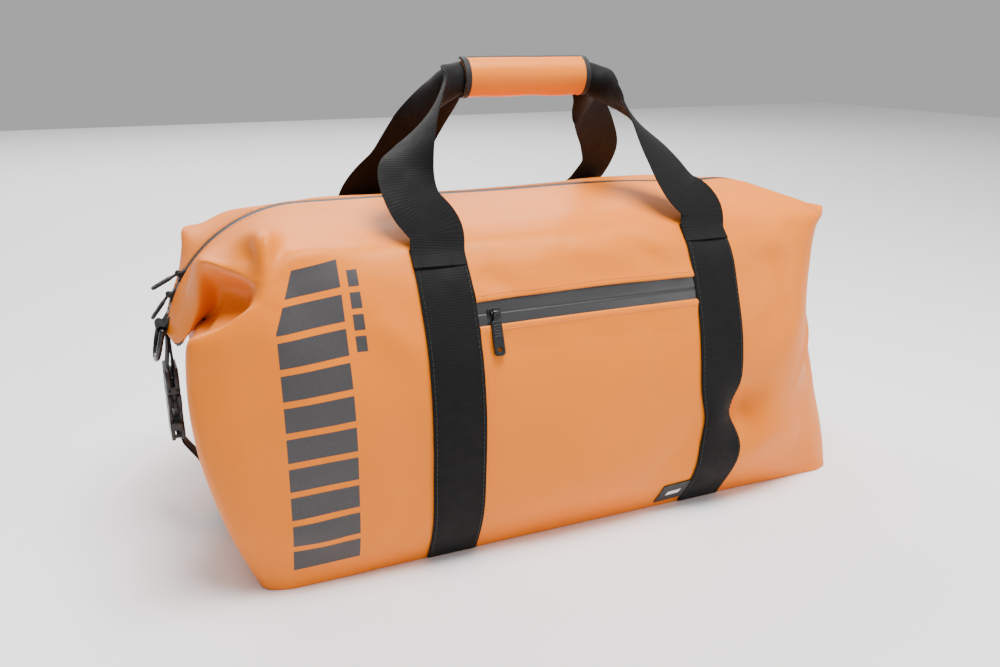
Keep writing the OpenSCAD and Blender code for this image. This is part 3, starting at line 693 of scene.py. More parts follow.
front = wrinkle(shell_grid(LEFT_END, RIGHT_END, FRONT), FRONT_WAVES, FRONT_CREASES, FRONT)
back = wrinkle(shell_grid(RIGHT_END, RIGHT_END, BACK), BACK_WAVES, BACK_CREASES, BACK)


# ---- Pieces cut into the left end, the middle and the right end ------------------------------
SEAM_X = 236             # the stitched seam beside the zip shows from here out
CUT_X = 104              # the shell, the zip tapes and the coil are cut into end and middle pieces here


def bend_with_mouth(obj, face, part, slot, *nodes):
    """Bakes the piece's placement into its mesh and hides the nodes it stands in for. part is
    -1, 0 or 1 for the left end, the middle and the right end, and is not used."""
    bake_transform(obj)
    if nodes:
        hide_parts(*nodes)


def side_name(face):
    return "front" if face == FRONT else "back"


PART_NAMES = {-1: "left", 0: "middle", 1: "right"}


def column_at(grid, x):
    """The column of the shell whose points in the middle rows are closest to x."""
    return int(np.argmin(np.abs(grid[:, SHOULDER_ROW, 0] - x)))


SHELL_NODES = {
    FRONT: {-1: ["front_panel", "left_ear"], 0: ["front_top_panel", "front_mouth_flap"], 1: []},
    BACK: {-1: ["back_panel"], 0: ["back_top_panel", "back_mouth_flap"], 1: ["right_ear"]},
}


def add_shell(grid, face):
    normal = grid_normals(grid, flip=face > 0)
    cuts = [0, column_at(grid, -CUT_X), column_at(grid, CUT_X), len(grid) - 1]
    for part, first, last in zip((-1, 0, 1), cuts[:-1], cuts[1:]):
        name = f"{side_name(face)}_shell_{PART_NAMES[part]}"
        section = slice(first, last + 1)
        obj = slab(name, grid[section], 0, SHELL_T, ["coated_fabric", "lining"], face > 0,
                   normal[section])
        bend_with_mouth(obj, face, part, "coated_fabric", *SHELL_NODES[face][part])


add_shell(front, FRONT)
add_shell(back, BACK)


# ---- Points on the front and back of the shell -----------------------------------------------
def line_up(grid, x, first, last, count):
    """A line up one side of the shell at a fixed x, between two rows."""
    rows = np.linspace(first, last, count)
    index = np.arange(grid.shape[1])
    y, z = ([np.interp(x, grid[:, j, 0], grid[:, j, k]) for j in index] for k in (1, 2))
    return np.stack([np.full(count, x), np.interp(rows, index, y),
                     np.interp(rows, index, z)], 1)


FRONT_TREE = BVHTree.FromPolygons(front.reshape(-1, 3).tolist(), grid_faces(*front.shape[:2]))


def on_front(x, z, lift):
    """Point of the front wall at x and height z, raised along the wall's normal."""
    hits = []
    for dx, dz in ((0, 0), (4, 0), (-4, 0), (0, 4), (0, -4)):
        hit = FRONT_TREE.ray_cast(Vector((x + dx, -FAR, max(z + dz, 0.6))), Vector((0, 1, 0)))[0]
        hits.append(np.array(hit))
    normal = unit(np.cross(hits[1] - hits[2], hits[3] - hits[4]))
    return hits[0] + normal * lift


# ---- Straps ----------------------------------------------------------------------------------
STRAP_T = 1.8
STRAP_X = {(FRONT, LEFT): -123, (FRONT, RIGHT): 117.5, (BACK, LEFT): -121, (BACK, RIGHT): 121}
# Points across the webbing, and the part of its thickness that it has there
ACROSS = np.array([-21.5, -21.1, -19, -15, -10, -5, 0, 5, 10, 15, 19, 21.1, 21.5])
EDGE = np.array([0.35, 0.85, 1, 1, 1, 1, 1, 1, 1, 1, 1, 0.85, 0.35])
STRAP_TOP = sum(ROW_STEPS[:8])
PINCH_Z, PINCH_REACH, PINCH_PART, PINCH_DEEP = 90, 17, 0.34, 2.5
LEAN_Z, LEAN_REACH, LEAN = 62, 48, 5


def strap_grid(grid, x, face):
    """The middle surface of a strap that lies on the shell. The front right one is pinched
    a little way up, where the wall has a dent beside it, and leans out below that."""
    lines = [line_up(grid, x + dx, 0.4, STRAP_TOP, 90) for dx in ACROSS]
    surface = np.stack(lines, 1)
    if face == FRONT and x > 0:
        height = surface[:, :1, 2]
        pinch = np.exp(-((height - PINCH_Z) / PINCH_REACH) ** 2)
        lean = LEAN * np.exp(-((height - LEAN_Z) / LEAN_REACH) ** 2)
        shifted = x + ACROSS[None, :] * (1 - PINCH_PART * pinch) - 3 * pinch + lean
        for i in range(len(surface)):
            y = np.interp(shifted[i], surface[i, :, 0], surface[i, :, 1])
            surface[i, :, 0] = shifted[i]
            surface[i, :, 1] = y - PINCH_DEEP * pinch[i] * (1 - (ACROSS / ACROSS[-1]) ** 2)
    normal = grid_normals(surface, face < 0)
    return surface + normal * (STRAP_T / 2 + 0.25), normal


def strap_stitches(surface, normal):
    """Rows of thread along both edges, and two across the top of the strap."""
    solid = Solid("thread_black")
    top = surface + normal * STRAP_T / 2
    for k in (2, 10):
        stitches(solid, top[2:-3, k], normal[2:-3, k], 4.2, 2.9, 0.3)
    for j in (-4, -12):
        stitches(solid, top[j, 1:-1], normal[j, 1:-1], 3.2, 2.4, 0.36)
    return solid


def add_strap(grid, face, side):
    name = f"{side_name(face)}_{PART_NAMES[side]}_strap"
    surface, normal = strap_grid(grid, STRAP_X[face, side], face)
    uv = np.stack(np.broadcast_arrays(ACROSS[None, :], grid_lengths(surface, 0)), -1)
    obj = slab(name + "_webbing", surface, EDGE * STRAP_T / 2, EDGE * STRAP_T / 2, ["webbing"],
               face < 0, normal, uv)
    finish_piece(obj, BAG, "webbing", name)
    thread = strap_stitches(surface, normal).make(name + "_stitches")
    finish_piece(thread, BAG, "webbing")
    return surface, normal


STRAPS = {(face, side): add_strap(grid, face, side)
          for face, grid in ((FRONT, front), (BACK, back)) for side in (LEFT, RIGHT)}


# ---- Handles ---------------------------------------------------------------------------------
# Centre lines: [x, y, z, angle of the width from level in degrees]
FRONT_HANDLE = [(-121.5, -108, 264, 1), (-134, -98, 284, 8), (-136, -82, 307, 24),
                (-121, -62, 329, 40), (-95, -34, 351, 56), (-74, -11, 366, 74),
                (-58, -4.5, 371.5, 86), (-30, -4, 372, 90), (30, -4, 372, 90),
                (58, -4.5, 371.5, 94), (70, -11, 364, 106), (82, -34, 347, 126),
                (91, -58, 326, 142), (97, -80, 304, 158), (105, -98, 282, 172),
                (120.5, -108, 264, 179)]
BACK_HANDLE = [(-121.5, -107, 262, 0), (-113, -98, 274, -12), (-98, -82, 292, -26),
               (-89, -62, 313, -40), (-81, -42, 334, -54), (-73, -22, 353, -68),
               (-66, -9, 366, -80), (-58, -4.4, 371.7, -88), (-30, -4, 372, -90),
               (30, -4, 372, -90), (58, -4.4, 371.7, -92), (66, -10, 365, -100),
               (77, -26, 350, -114), (93, -43, 332, -130), (112, -62, 311, -146),
               (126, -82, 288, -162), (124, -100, 267, -176)]


def handle_start(face, side):
    """Stations on the strap's top, where the handle is sewn on over it."""
    surface, normal = STRAPS[face, side]
    middle = len(ACROSS) // 2
    stations = []
    for row in (-13, -9, -5):
        point = surface[row, middle] + normal[row, middle] * (STRAP_T + 0.1)
        stations.append((point[0], point[1] * -face, point[2]))
    return stations


def add_handle(face, line):
    start, end = handle_start(face, LEFT), handle_start(face, RIGHT)
    last_turn = 180 if line[-1][3] > 0 else -180
    stations = ([(*p, 0) for p in start] + list(line) + [(*p, last_turn) for p in end[::-1]])
    path = spline(stations, 8)
    place, turn = path[:, :3] * [1, -face, 1], np.radians(path[:, 3])
    tangent = unit(np.gradient(place, axis=0))
    width = np.stack([np.cos(turn), 0 * turn, np.sin(turn)], 1)
    width = unit(width - tangent * np.sum(width * tangent, 1, keepdims=True))
    normal = np.cross(tangent, width)
    # the webbing curls up lengthwise until it goes into the grip
    spread = np.interp(np.abs(place[:, 0]), [56, 66, 84], [0.52, 0.62, 1])
    half_turns = np.linspace(0.001, 2.2, 200)
    curl = np.interp(-spread, -np.sin(half_turns) / half_turns, half_turns)
    k = ACROSS / ACROSS[-1]
    angle = curl[:, None] * k[None, :]
    radius = (ACROSS[-1] / curl)[:, None]
    side = radius * np.sin(angle)
    lift = radius * (np.cos(angle) - 1)
    lift -= lift.mean(axis=1, keepdims=True)
    along = grid_lengths(place[:, None], 0)
    ripple = np.array([noise.noise(Vector((a * 0.022 + face, 0.3, 0))) for a in along[:, 0]])
    lift = lift + (ripple[:, None] * k[None, :] * 2.5) * (spread > 0.9)[:, None]
    surface = (place[:, None] + width[:, None] * side[..., None]
               + normal[:, None] * (lift * -face)[..., None])
    uv = np.stack(np.broadcast_arrays(ACROSS[None, :], along), -1)
    name = side_name(face) + "_handle"
    obj = slab(name + "_webbing", surface, EDGE * STRAP_T / 2, EDGE * STRAP_T / 2, ["webbing"],
               uv=uv)
    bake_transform(obj)
    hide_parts(name, *(["handle_roots"] if face == FRONT else []))


add_handle(FRONT, FRONT_HANDLE)
add_handle(BACK, BACK_HANDLE)


# ---- Grip ------------------------------------------------------------------------------------
GRIP_Z, GRIP_HALF = 372, 59
SWELL_FRAMES = 15


def grip_grid(radius, first, last, half, steps):
    """Part of the grip's round wall: angles in degrees from the top towards the front."""
    angle = np.radians(np.linspace(first, last, steps))
    x = np.linspace(-half, half, 71)
    a, along = np.meshgrid(angle, x, indexing="ij")
    points = np.stack([along, -radius * np.sin(a), GRIP_Z + radius * np.cos(a)], -1)
    outward = np.stack([0 * a, -np.sin(a), np.cos(a)], -1)
    return points, outward, a, along


def inflate(obj, pressure, limit):
    """Lets a padded piece swell under pressure, no point by more than limit millimetres."""
    rest = np.array([v.co[:] for v in obj.data.vertices])
    modifier = obj.modifiers.new("swell", "CLOTH")
    cloth = modifier.settings
    cloth.quality = 6
    cloth.tension_stiffness = cloth.compression_stiffness = 40
    cloth.bending_stiffness = 2
    cloth.use_pressure = True
    cloth.uniform_pressure_force = pressure
    cloth.effector_weights.gravity = 0
    pin = obj.vertex_groups.new(name="sewn")
    ends = np.where(np.abs(rest[:, 0]) > (GRIP_HALF - 3) * MM)[0]
    pin.add(ends.tolist(), 1.0, "REPLACE")
    cloth.vertex_group_mass = "sewn"
    scene = bpy.context.scene
    for step in range(1, SWELL_FRAMES + 1):
        scene.frame_set(step)
    shaped = obj.evaluated_get(bpy.context.evaluated_depsgraph_get()).data
    moved = np.array([v.co[:] for v in shaped.vertices]) - rest
    size = np.linalg.norm(moved, axis=1, keepdims=True)
    moved *= np.minimum(1, limit * MM / np.maximum(size, 1e-9))
    obj.modifiers.remove(modifier)
    obj.vertex_groups.remove(pin)
    scene.frame_set(1)
    obj.data.vertices.foreach_set("co", (rest + moved).ravel())
    obj.data.update()


def add_grip_wrap():
    points, outward, a, _ = grip_grid(13.2, 0, 330, GRIP_HALF, 80)
    bumps = np.array([[noise.noise(Vector((p[0] * 0.05, 2 * math.cos(t), 2 * math.sin(t))))
                       for p, t in zip(row, turns)] for row, turns in zip(points, a)])
    points = points + outward * (0.5 * bumps)[..., None]
    obj = slab("grip_wrap_pad", points, 0.8, 1.4, ["grip_fabric", "lining"], False, outward)
    inflate(obj, 2.0, 0.8)
    finish_piece(obj, "handles", "grip_fabric", "grip_wrap")


def add_grip_flap():
    points, outward, a, x = grip_grid(15.3, -3, 183, GRIP_HALF + 0.4, 90)
    degrees = np.degrees(a)
    wave = np.array([[noise.noise(Vector((p[0] * 0.045, 0.9 * t, 7))) for p, t in
                      zip(row, turns)] for row, turns in zip(points, a)])
    low_edge = np.clip((degrees - 100) / 80, 0, 1)
    puff = 0.5 * np.sin(np.radians(np.clip(degrees, 0, 180))) + wave * (0.35 + 1.3 * low_edge)
    # the ends are drawn in round the webbing, and the lower edge hangs a little unevenly
    ends = np.clip((np.abs(x) - 40) / 19, 0, 1) ** 2
    points = points + outward * (puff * (1 - ends) - 0.2 * ends)[..., None]
    border = np.maximum(np.clip((16 - degrees) / 1.0, 0, 1),
                        np.clip((np.abs(x) - GRIP_HALF + 5.5) / 0.8, 0, 1))
    rise = 1.3 + 0.75 * border
    obj = slab("grip_flap_cover", points, rise, 0.0, ["grip_fabric"], False, outward)
    # the binding covers the border on both sides, and the rim
    mesh = obj.data
    mesh.materials.append(MATERIALS["binding"])
    bound = (border[:-1, :-1] + border[1:, 1:]).ravel() / 2 > 0.5
    rim = np.ones(len(mesh.polygons) - 2 * bound.size, bool)
    mesh.polygons.foreach_set("material_index",
                              np.concatenate([bound, bound, rim]).astype(np.int32))
    finish_piece(obj, "grip_flap", "grip_fabric", "grip_flap")


add_grip_wrap()
add_grip_flap()


# ---- Main zip --------------------------------------------------------------------------------
def zip_line(spacing):
    """The zip's middle line from its left end over the ridge to its right end, with the
    direction out of the bag."""
    turn = np.radians(np.linspace(ARC_END, 0, 60))
    end = np.stack([ARC_X + ARC_R * np.sin(turn), 0 * turn, ARC_Z + ARC_R * np.cos(turn)], 1)
    line = resample(np.concatenate([end * [-1, 1, 1], end[::-1]]), spacing)
    line[:, 2] -= sag(line[:, 0])
    tangent = unit(np.gradient(line, axis=0))
    up = np.stack([-tangent[:, 2], 0 * tangent[:, 0], tangent[:, 0]], 1)
    return line, up


# Section of one zip tape: [distance from the middle, height above the ridge]
ZIP_SECTION = [(0.35, -1.1), (0.35, -0.2), (0.8, 0.25), (2.2, 0.3), (5, 0.2), (8.5, -0.6),
               (12, -1.6)]
# Section of one tooth of the coil
TOOTH = [(3.6, -1.5), (1.2, -1.4), (0.5, -1.9), (1.2, -2.5), (3.6, -2.5)]
TAPE_NODES = {
    FRONT: {-1: ["end_zip_tapes"], 0: ["front_zip_tape"], 1: []},
    BACK: {-1: [], 0: ["back_zip_tape"], 1: []},
}


def add_main_zip(face):
    line, up = zip_line(3.0)
    grid = np.stack([line + up * h + np.array([0, face * y, 0]) for y, h in ZIP_SECTION], 1)
    cuts = [0, *[int(np.argmin(np.abs(line[:, 0] - x))) for x in (-CUT_X, CUT_X)],
            len(line) - 1]
    normal = grid_normals(grid, face < 0)
    for part, first, last in zip((-1, 0, 1), cuts[:-1], cuts[1:]):
        name = f"{side_name(face)}_zip_tape_{PART_NAMES[part]}"
        section = slice(first, last + 1)
        obj = slab(name, grid[section], 0, 0.7, ["zip_tape"], face < 0, normal[section])
        bend_with_mouth(obj, face, part, "zip_tape", *TAPE_NODES[face][part])


def add_zip_coil(face):
    """Teeth of the coil under the tape's edge, one small loop after the other."""
    line, up = zip_line(2.4)
    out = np.array([0, face, 0])
    for part, low, high in ((-1, -FAR, -CUT_X), (0, -CUT_X, CUT_X), (1, CUT_X, FAR)):
        solid = Solid("zip_tape")
        for p, u in zip(line, up):
            if low <= p[0] < high:
                solid.add(tube_data([p + out * y + u * h for y, h in TOOTH], 0.45, 5))
        obj = solid.make(f"{side_name(face)}_zip_coil_{PART_NAMES[part]}")
        bend_with_mouth(obj, face, part, "zip_tape")


for side_of_zip in (FRONT, BACK):
    add_main_zip(side_of_zip)
    add_zip_coil(side_of_zip)


def add_zip_seams(grid, face):
    """Stitch rows beside the zip on the ears, along the shell's upper edge."""
    row, normal = grid[:, -2], grid_normals(grid, face > 0)[:, -2]
    for part in (-1, 1):
        keep = part * row[:, 0] >= SEAM_X
        thread = stitches(Solid("thread"), row[keep], normal[keep], 4.0, 2.9, 0.3)
        obj = thread.make(f"{side_name(face)}_zip_seam_{PART_NAMES[part]}")
        bend_with_mouth(obj, face, part, "coated_fabric")


add_zip_seams(front, FRONT)
add_zip_seams(back, BACK)


# ---- Zip pocket ------------------------------------------------------------------------------
def pocket_surface(section, count=100, bow=0.0):
    """Strip of the front wall along the pocket: [distance up the wall, lift off it]."""
    xs = np.linspace(-POCKET_HALF, POCKET_HALF, count)
    grid = []
    for x in xs:
        arch = bow * (1 - (x / POCKET_HALF) ** 2)
        grid.append([on_front(x, POCKET_Z + (s + arch) * 0.95, lift) for s, lift in section])
    return np.array(grid)


# Sections of the tape and of the lip beside it: [distance up the wall, lift off it]
POCKET_TAPE = [(-0.4, 0.12), (0.3, 0.15), (0.8, 0.75), (2.5, 0.8), (6, 0.55), (9.5, 0.35),
               (13, 0.3)]
POCKET_LIP = [(9.2, 0.1), (9.0, 0.9), (9.4, 1.7), (10.4, 2.15), (12, 2.1), (14, 1.8), (17, 1.3),
              (21, 0.75), (26, 0.3), (31, 0.03), (35, -0.3)]


def add_pocket_tape(up, name):
    grid = pocket_surface([(up * s, h) for s, h in POCKET_TAPE])
    obj = slab(f"pocket_zip_{name}_half", grid, 0, 0.5, ["zip_tape"], up < 0)
    finish_piece(obj, BAG, "zip_tape", f"pocket_zip_{name}_tape")


def add_pocket_lip(up, name, bow):
    """The turned edge of the opening, with its row of stitches."""
    grid = pocket_surface([(up * s, h) for s, h in POCKET_LIP], 110, up * bow)
    for i, x in enumerate(grid[:, 0, 0]):
        pull = math.exp(-((abs(x) - 99) / 9) ** 2)
        for k in range(len(POCKET_LIP)):
            wobble = noise.noise(Vector((x * 0.035, k * 0.25, up * 3.0)))
            grid[i, k, 1] -= wobble * 0.5 * min(k, 5) / 5 - 0.4 * pull
    obj = slab(f"pocket_{name}_lip", grid, 0, 0.4, ["coated_fabric"], up < 0)
    finish_piece(obj, BAG, "coated_fabric")
    seam = grid[2:-2, 5] * 0.6 + grid[2:-2, 4] * 0.4
    normal = grid_normals(grid, up < 0)[2:-2, 5]
    thread = stitches(Solid("thread"), seam, normal, 3.0, 2.1, 0.3)
    finish_piece(thread.make(f"pocket_{name}_stitches"), BAG, "coated_fabric")


add_pocket_tape(1, "upper")
add_pocket_tape(-1, "lower")
add_pocket_lip(1, "upper", 1.6)
add_pocket_lip(-1, "lower", -0.4)


# ---- Sliders and pullers ---------------------------------------------------------------------
def slider_shape(bridge_turn, pin, base=0.35):
    """Zip slider at the origin: its length along X and its height along Z."""
    solid = Solid("zip_metal")
    outline = rounded([(-5.6, -3.3), (-2, -4.6), (5.6, -4.2), (5.6, 4.2), (-2, 4.6),
                       (-5.6, 3.3)], 1.4)
    solid.add(plate_data([outline], 1.5, 0.45), axes((0, 0, base + 0.75), (1, 0, 0), (0, 1, 0),
                                                     (0, 0, 1)))
    turn = math.radians(bridge_turn)
    along = np.array([math.cos(turn), math.sin(turn), 0])
    across = np.array([-math.sin(turn), math.cos(turn), 0])
    cheek = rounded([(-2.6, 0), (2.6, 0), (1.8, pin - base - 0.4), (0, pin - base + 1.1),
                     (-1.8, pin - base - 0.4)], 1.0)
    for offset in (-2.7, 2.7):
        solid.add(plate_data([cheek], 1.1, 0.3),
                  axes(across * offset + [0, 0, base + 1], along, (0, 0, 1),
                       np.cross(along, (0, 0, 1))))
    rod = [across * y + [0, 0, pin] for y in (-3.2, 0, 3.2)]
    solid.add(tube_data(rod, 0.95, 16))
    return solid


def puller_shape(length, width, hole, ribs):
    """Puller with its eye at the origin and its tab along +X, seen from +Z."""
    solid = Solid("zip_metal")
    solid.add(plate_data([circle(0, 2.5, 24), circle(0, 1.3)], 3.6, 0.4),
              axes((0, 0, 0), (1, 0, 0), (0, 0, 1), (0, -1, 0)))
    neck = rounded([(1.9, -1.7), (7.5, -2.3), (7.5, 2.3), (1.9, 1.7)], 0.5)
    solid.add(plate_data([neck], 1.8, 0.4))
    half = width / 2
    corners = [(6, half - 1.2), (8, half), (length - 1.8, half), (length, half - 1.8)]
    outline = rounded([(x, -y) for x, y in corners] + corners[::-1], 1.2)
    solid.add(plate_data([outline, circle(length - 5, hole)], 2.2, 0.55))
    for k in range(ribs):
        x = 9.5 + k * 2.1
        bar = [(x, -half + 1.6, 1.05), (x, 0, 1.2), (x, half - 1.6, 1.05)]
        solid.add(tube_data(bar, 0.5, 8))
        solid.add(tube_data([(px, py, -pz) for px, py, pz in bar], 0.5, 8))
    return solid


def arc_axes(angle, height=0.0, lean=0.0):
    """Axes on the left end of the zip: X down the zip, Z out of the bag."""
    a = math.radians(angle)
    out = np.array([-math.sin(a), 0, math.cos(a)])
    down = np.array([-math.cos(a), 0, -math.sin(a)])
    origin = np.array([-ARC_X, 0, ARC_Z]) + out * (ARC_R + height)
    t = math.radians(lean)
    x = down * math.cos(t) + out * math.sin(t)
    z = out * math.cos(t) - down * math.sin(t)
    return axes(origin, x, np.cross(z, x), z)


MAIN_PIN, POCKET_PIN = 3.9, 2.3      # the puller's pin above the middle of the slider
POCKET_PARK = np.array([-88, -140, POCKET_Z])
WALL_TILT, PULLER_TILT = math.radians(72.2), math.radians(2)


def add_slider(name, slider, slider_place, puller, puller_place):
    finish_piece(slider.place(slider_place).make(f"{name}_slider_body"), f"{name}_slider",
                 "zip_metal", f"{name}_slider")
    finish_piece(puller.place(puller_place).make(f"{name}_puller_tab"), f"{name}_puller",
                 "zip_metal", f"{name}_puller")


def add_pocket_slider():
    wall_up = np.array([0, math.cos(WALL_TILT), math.sin(WALL_TILT)])
    wall_out = np.array([0, -math.sin(WALL_TILT), math.cos(WALL_TILT)])
    down = wall_out * math.sin(PULLER_TILT) - wall_up * math.cos(PULLER_TILT)
    face_out = np.cross((1, 0, 0), -down)
    add_slider("pocket", slider_shape(90, POCKET_PIN, -0.2),
               axes(POCKET_PARK, (1, 0, 0), wall_up, wall_out), puller_shape(33, 9, 1.8, 5),
               axes(POCKET_PARK + wall_out * POCKET_PIN, down, np.cross(face_out, down),
                    face_out))


for which, park, lean in (("upper", 57, 30), ("lower", 66, 14)):
    add_slider(which, slider_shape(0, MAIN_PIN), arc_axes(park), puller_shape(24, 7, 1.5, 3),
               arc_axes(park, MAIN_PIN, lean))
add_pocket_slider()


# ---- Print and label -------------------------------------------------------------------------
def wall_grid(place, columns, rows, lift):
    """Points on the front wall. place maps u and v from 0 to 1 to x and height."""
    return np.array([[on_front(*place(u, v), lift) for v in np.linspace(0, 1, rows)]
                     for u in np.linspace(0, 1, columns)])


def film(name, place, columns, rows):
    """Printed film on the front wall."""
    grid = wall_grid(place, columns, rows, 0.12)
    return make_mesh(name, grid.reshape(-1, 3), grid_faces(columns, rows), ["print"],
                     normals=grid_normals(grid).reshape(-1, 3))


PRINT_LEFT, PRINT_BOTTOM = -252, 18
BARS, BAR_WIDE, BAR_HIGH, BAR_PITCH, BAR_RISE = 10, 50, 18.5, 23.5, 4
MARKS, MARK_WIDE, MARK_HIGH, MARK_PITCH = 4, 8, 11, 15
MARK_LEFT, MARK_BOTTOM = PRINT_LEFT + BAR_WIDE + 6, 188
CUT_Z, CUT_SLOPE = 208, 0.41         # the top left corner of the print is cut off above CUT_Z


def add_print():
    for k in range(BARS):
        def bar(u, v, k=k):
            z = PRINT_BOTTOM + k * BAR_PITCH + BAR_RISE * u + BAR_HIGH * v
            cut = max(z - CUT_Z, 0) * CUT_SLOPE * (1 - u)
            return PRINT_LEFT + BAR_WIDE * u + cut, z
        piece = film(f"print_bar_{k + 1}", bar, 29, 12)
        finish_piece(piece, BAG, "print", *(["printed_graphic"] if k == 0 else []))
    for k in range(MARKS):
        def mark(u, v, k=k):
            return MARK_LEFT + MARK_WIDE * u, MARK_BOTTOM + MARK_PITCH * k + MARK_HIGH * v
        finish_piece(film(f"print_mark_{k + 1}", mark, 5, 6), BAG, "print")


def add_label():
    def outline(u, v):
        return 70 + 28 * u + 3 * v, 7 + 20 * v + 2 * u

    def mark(u, v):
        return 78 + 13 * u + 1.4 * v, 15 + 4.4 * v + u

    label = slab("side_label_patch", wall_grid(outline, 12, 10, 0.35), 1.0, 0.05, ["label"])
    finish_piece(label, BAG, "label", "side_label")
    bar = slab("side_label_mark", wall_grid(mark, 8, 4, 1.4), 0.12, 0.05, ["label_mark"])
    finish_piece(bar, BAG, "label")


add_print()
add_label()


# ---- End hardware ----------------------------------------------------------------------------
BUCKLE_X, BUCKLE_W, TAB_W = 317, 33, 25
PLUG_Z, SOCKET_Z = 128, 88
# Paths of the webbing as [x, z]: the ring's tab, the plug's loop and the socket's strap
TAB_PATH = [(312.4, 193), (315.8, 187.5), (318.3, 184.6), (320.3, 185.9), (323.4, 184.6),
            (324.0, 181.6), (322.2, 179), (319.2, 178.6), (317.2, 181.4), (316.0, 184.6),
            (312.6, 190)]
UPPER_PATH = [(315.4, 178), (315.2, 168), (314.8, 156), (314.6, 146), (315.2, 141.2),
              (317, 139.9), (318.9, 141.2), (319.5, 146), (318.3, 156), (317.2, 166),
              (316.9, 176)]
LOWER_PATH = [(314.8, 99), (314.4, 94), (314.4, 86), (309, 76), (302.8, 66), (299.4, 54),
              (296, 42), (292.4, 30), (287.6, 16), (282.5, 3.5)]


def belt(name, side, path, thick):
    """Webbing across the end of the bag that follows a path of [x, z] points."""
    line = resample(spline(path, 8), 1.6)
    across = np.array([-1, -0.97, -0.8, -0.4, 0, 0.4, 0.8, 0.97, 1]) * TAB_W / 2
    edge = np.array([0.4, 0.9, 1, 1, 1, 1, 1, 0.9, 0.4]) * thick / 2
    grid = np.array([[(side * x, y, z) for y in across] for x, z in line])
    uv = np.stack(np.broadcast_arrays(across[None, :], grid_lengths(grid, 0)), -1)
    return slab(name, grid, edge, edge, ["webbing"], uv=uv)


def end_axes(side, x, y, z):
    """Axes on the end of the bag: X across it, Y up and Z outwards."""
    return axes((side * x, y, z), (0, side, 0), (0, 0, 1), (side, 0, 0))


def add_plug(side, name):
    half = BUCKLE_W / 2
    plug = Solid("buckle_plastic")
    outline = rounded([(-half, 0.4), (half, 0.4), (half, 14), (half - 3, 21.7),
                       (-half + 3, 21.7), (-half, 14)], 2.5)
    window = block(13, 11.2, 18.4, 1.2)
    for out in (-3.3, 3.3):
        plug.add(plate_data([outline, window], 3.9, 1.1),
                 end_axes(side, BUCKLE_X + out, 0, PLUG_Z))
    middle = end_axes(side, BUCKLE_X, 0, PLUG_Z)
    plug.add(plate_data([block(half, 0.4, 7, 1.5)], 10.4, 1.6), middle)
    plug.add(tube_data([(side * BUCKLE_X, y, PLUG_Z + 15) for y in (-15, 0, 15)], 1.2, 12))
    plug.add(plate_data([block(2, -19, 2, 0.8)], 3, 0.6), middle)
    for k in range(3):
        rib = [(side * (BUCKLE_X + 5.2), y, PLUG_Z + 2.4 + 2.2 * k)
               for y in (-half + 4, 0, half - 4)]
        plug.add(tube_data(rib, 0.5, 8))
    finish_piece(plug.make(name + "_plug_shell"), BAG, "buckle_plastic", name + "_buckle_plug")


def add_socket(side, name):
    half = BUCKLE_W / 2
    socket = Solid("buckle_plastic")
    shell = rounded([(-half, 0), (half, 0), (half, 10), (half - 4.5, 16), (half - 4.5, 24),
                     (half, 30), (half, 39.6), (-half, 39.6), (-half, 30), (-half + 4.5, 24),
                     (-half + 4.5, 16), (-half, 10)], 2.2)
    for out in (-3.95, 3.95):
        socket.add(plate_data([shell, block(5, 22, 32, 1.5)], 3.1, 1.0),
                   end_axes(side, BUCKLE_X + out, 0, SOCKET_Z))
    socket.add(plate_data([block(half, 8.6, 15.4, 1)], 8.5, 0.8),
               end_axes(side, BUCKLE_X, 0, SOCKET_Z))
    bar_z = SOCKET_Z + 3.5
    socket.add(tube_data([(side * BUCKLE_X, y, bar_z) for y in (-16, 0, 16)], 1.3, 12))
    for y in (-14.6, 14.6):
        socket.add(tube_data([(side * (BUCKLE_X + out), y, bar_z) for out in (-4, 0, 4)], 1.7, 12))
    finish_piece(socket.make(name + "_socket_shell"), name + "_socket", "buckle_plastic",
                 name + "_buckle_socket")


def add_prong(side, name, face):
    shape = [(1.6, 0), (-1.6, 0), (-1.6, -21), (1, -21), (5.6, -14), (5.6, -10), (1.6, -5)]
    if face * side < 0:
        shape = [(-x, y) for x, y in shape]
    prong = Solid("buckle_plastic")
    prong.add(plate_data([rounded(shape, 1.2)], 3.6, 0.7),
              end_axes(side, BUCKLE_X, face * 10, PLUG_Z - 0.2))
    piece = f"{name}_{side_name(face)}_prong"
    finish_piece(prong.make(piece + "_arm"), piece, "buckle_plastic", piece)


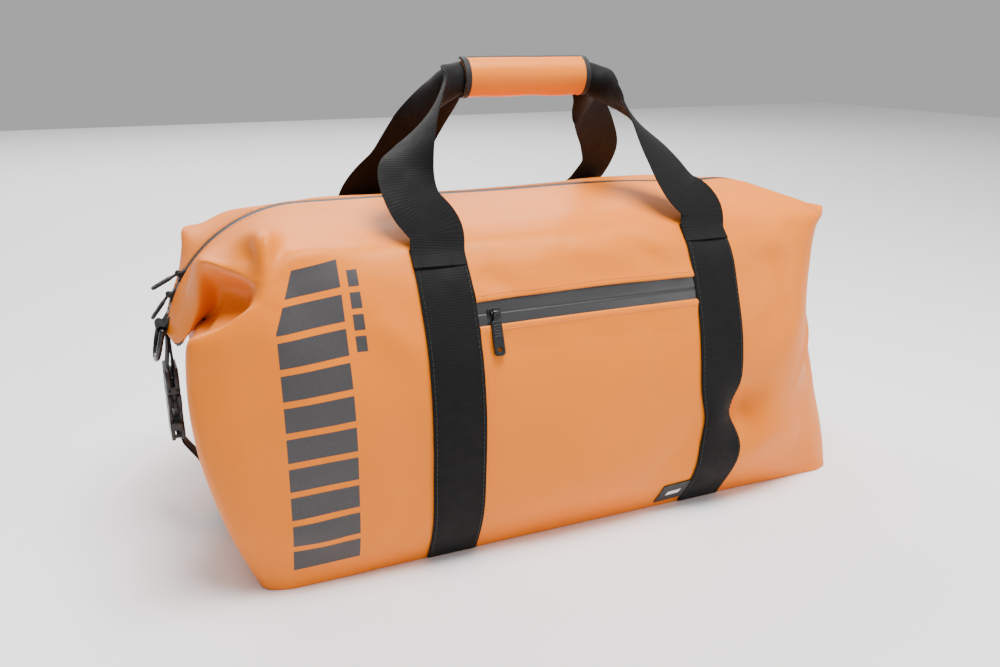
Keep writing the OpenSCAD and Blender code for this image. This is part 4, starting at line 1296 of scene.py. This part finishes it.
def repaint(node, material):
    for slot in bpy.data.objects[node].material_slots:
        slot.material = MATERIALS[material]


def add_end_hardware(side, name):
    finish_piece(belt(name + "_tab_webbing", side, TAB_PATH, 1.3), BAG, "webbing",
                 name + "_ring_tab")
    finish_piece(belt(name + "_upper_belt", side, UPPER_PATH, 1.5), BAG, "webbing",
                 name + "_upper_webbing")
    add_plug(side, name)
    add_socket(side, name)
    for face in (FRONT, BACK):
        add_prong(side, name, face)
    lower = belt(name + "_lower_belt", side, LOWER_PATH, 1.6)
    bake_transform(lower)
    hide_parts(name + "_lower_webbing")
    repaint(name + "_ring", "ring_metal")


add_end_hardware(LEFT, "left")
add_end_hardware(RIGHT, "right")
repaint("base_panel", "coated_fabric")
repaint("base_board", "board")
repaint("pocket_bag", "lining")
repaint("zip_end_stops", "zip_metal")


# ---- Floor, lights and world -----------------------------------------------------------------
def add_floor():
    half, steps = 4000, 8
    line = np.linspace(-half, half, steps)
    x, y = np.meshgrid(line, line, indexing="ij")
    points = np.stack([x, y, np.full_like(x, -0.4)], -1).reshape(-1, 3)
    floor = make_mesh("floor", points, grid_faces(steps, steps), ["floor"])


add_floor()


def add_light(name, place, target, size, power):
    data = bpy.data.lights.new(name, "AREA")
    data.shape = "RECTANGLE"
    data.size, data.size_y = size
    data.energy = power
    light = bpy.data.objects.new(name, data)
    light.location = place
    direction = Vector(target) - Vector(place)
    light.rotation_euler = direction.to_track_quat("-Z", "Y").to_euler()
    bpy.context.scene.collection.objects.link(light)


def add_world():
    world = bpy.data.worlds.new("studio")
    bpy.context.scene.world = world
    world.use_nodes = True
    background = world.node_tree.nodes["Background"]
    background.inputs["Color"].default_value = (1.0, 1.0, 1.0, 1)
    background.inputs["Strength"].default_value = 0.45


add_world()
add_light("key", (0.15, -0.35, 1.7), (0, 0, 0.15), (0.9, 0.7), 60)
add_light("fill", (1.5, -1.7, 0.8), (0, 0, 0.12), (1.0, 0.8), 16)
add_light("back_wash", (0.0, 2.4, 2.2), (0, 1.2, 0), (3.4, 1.2), 110)
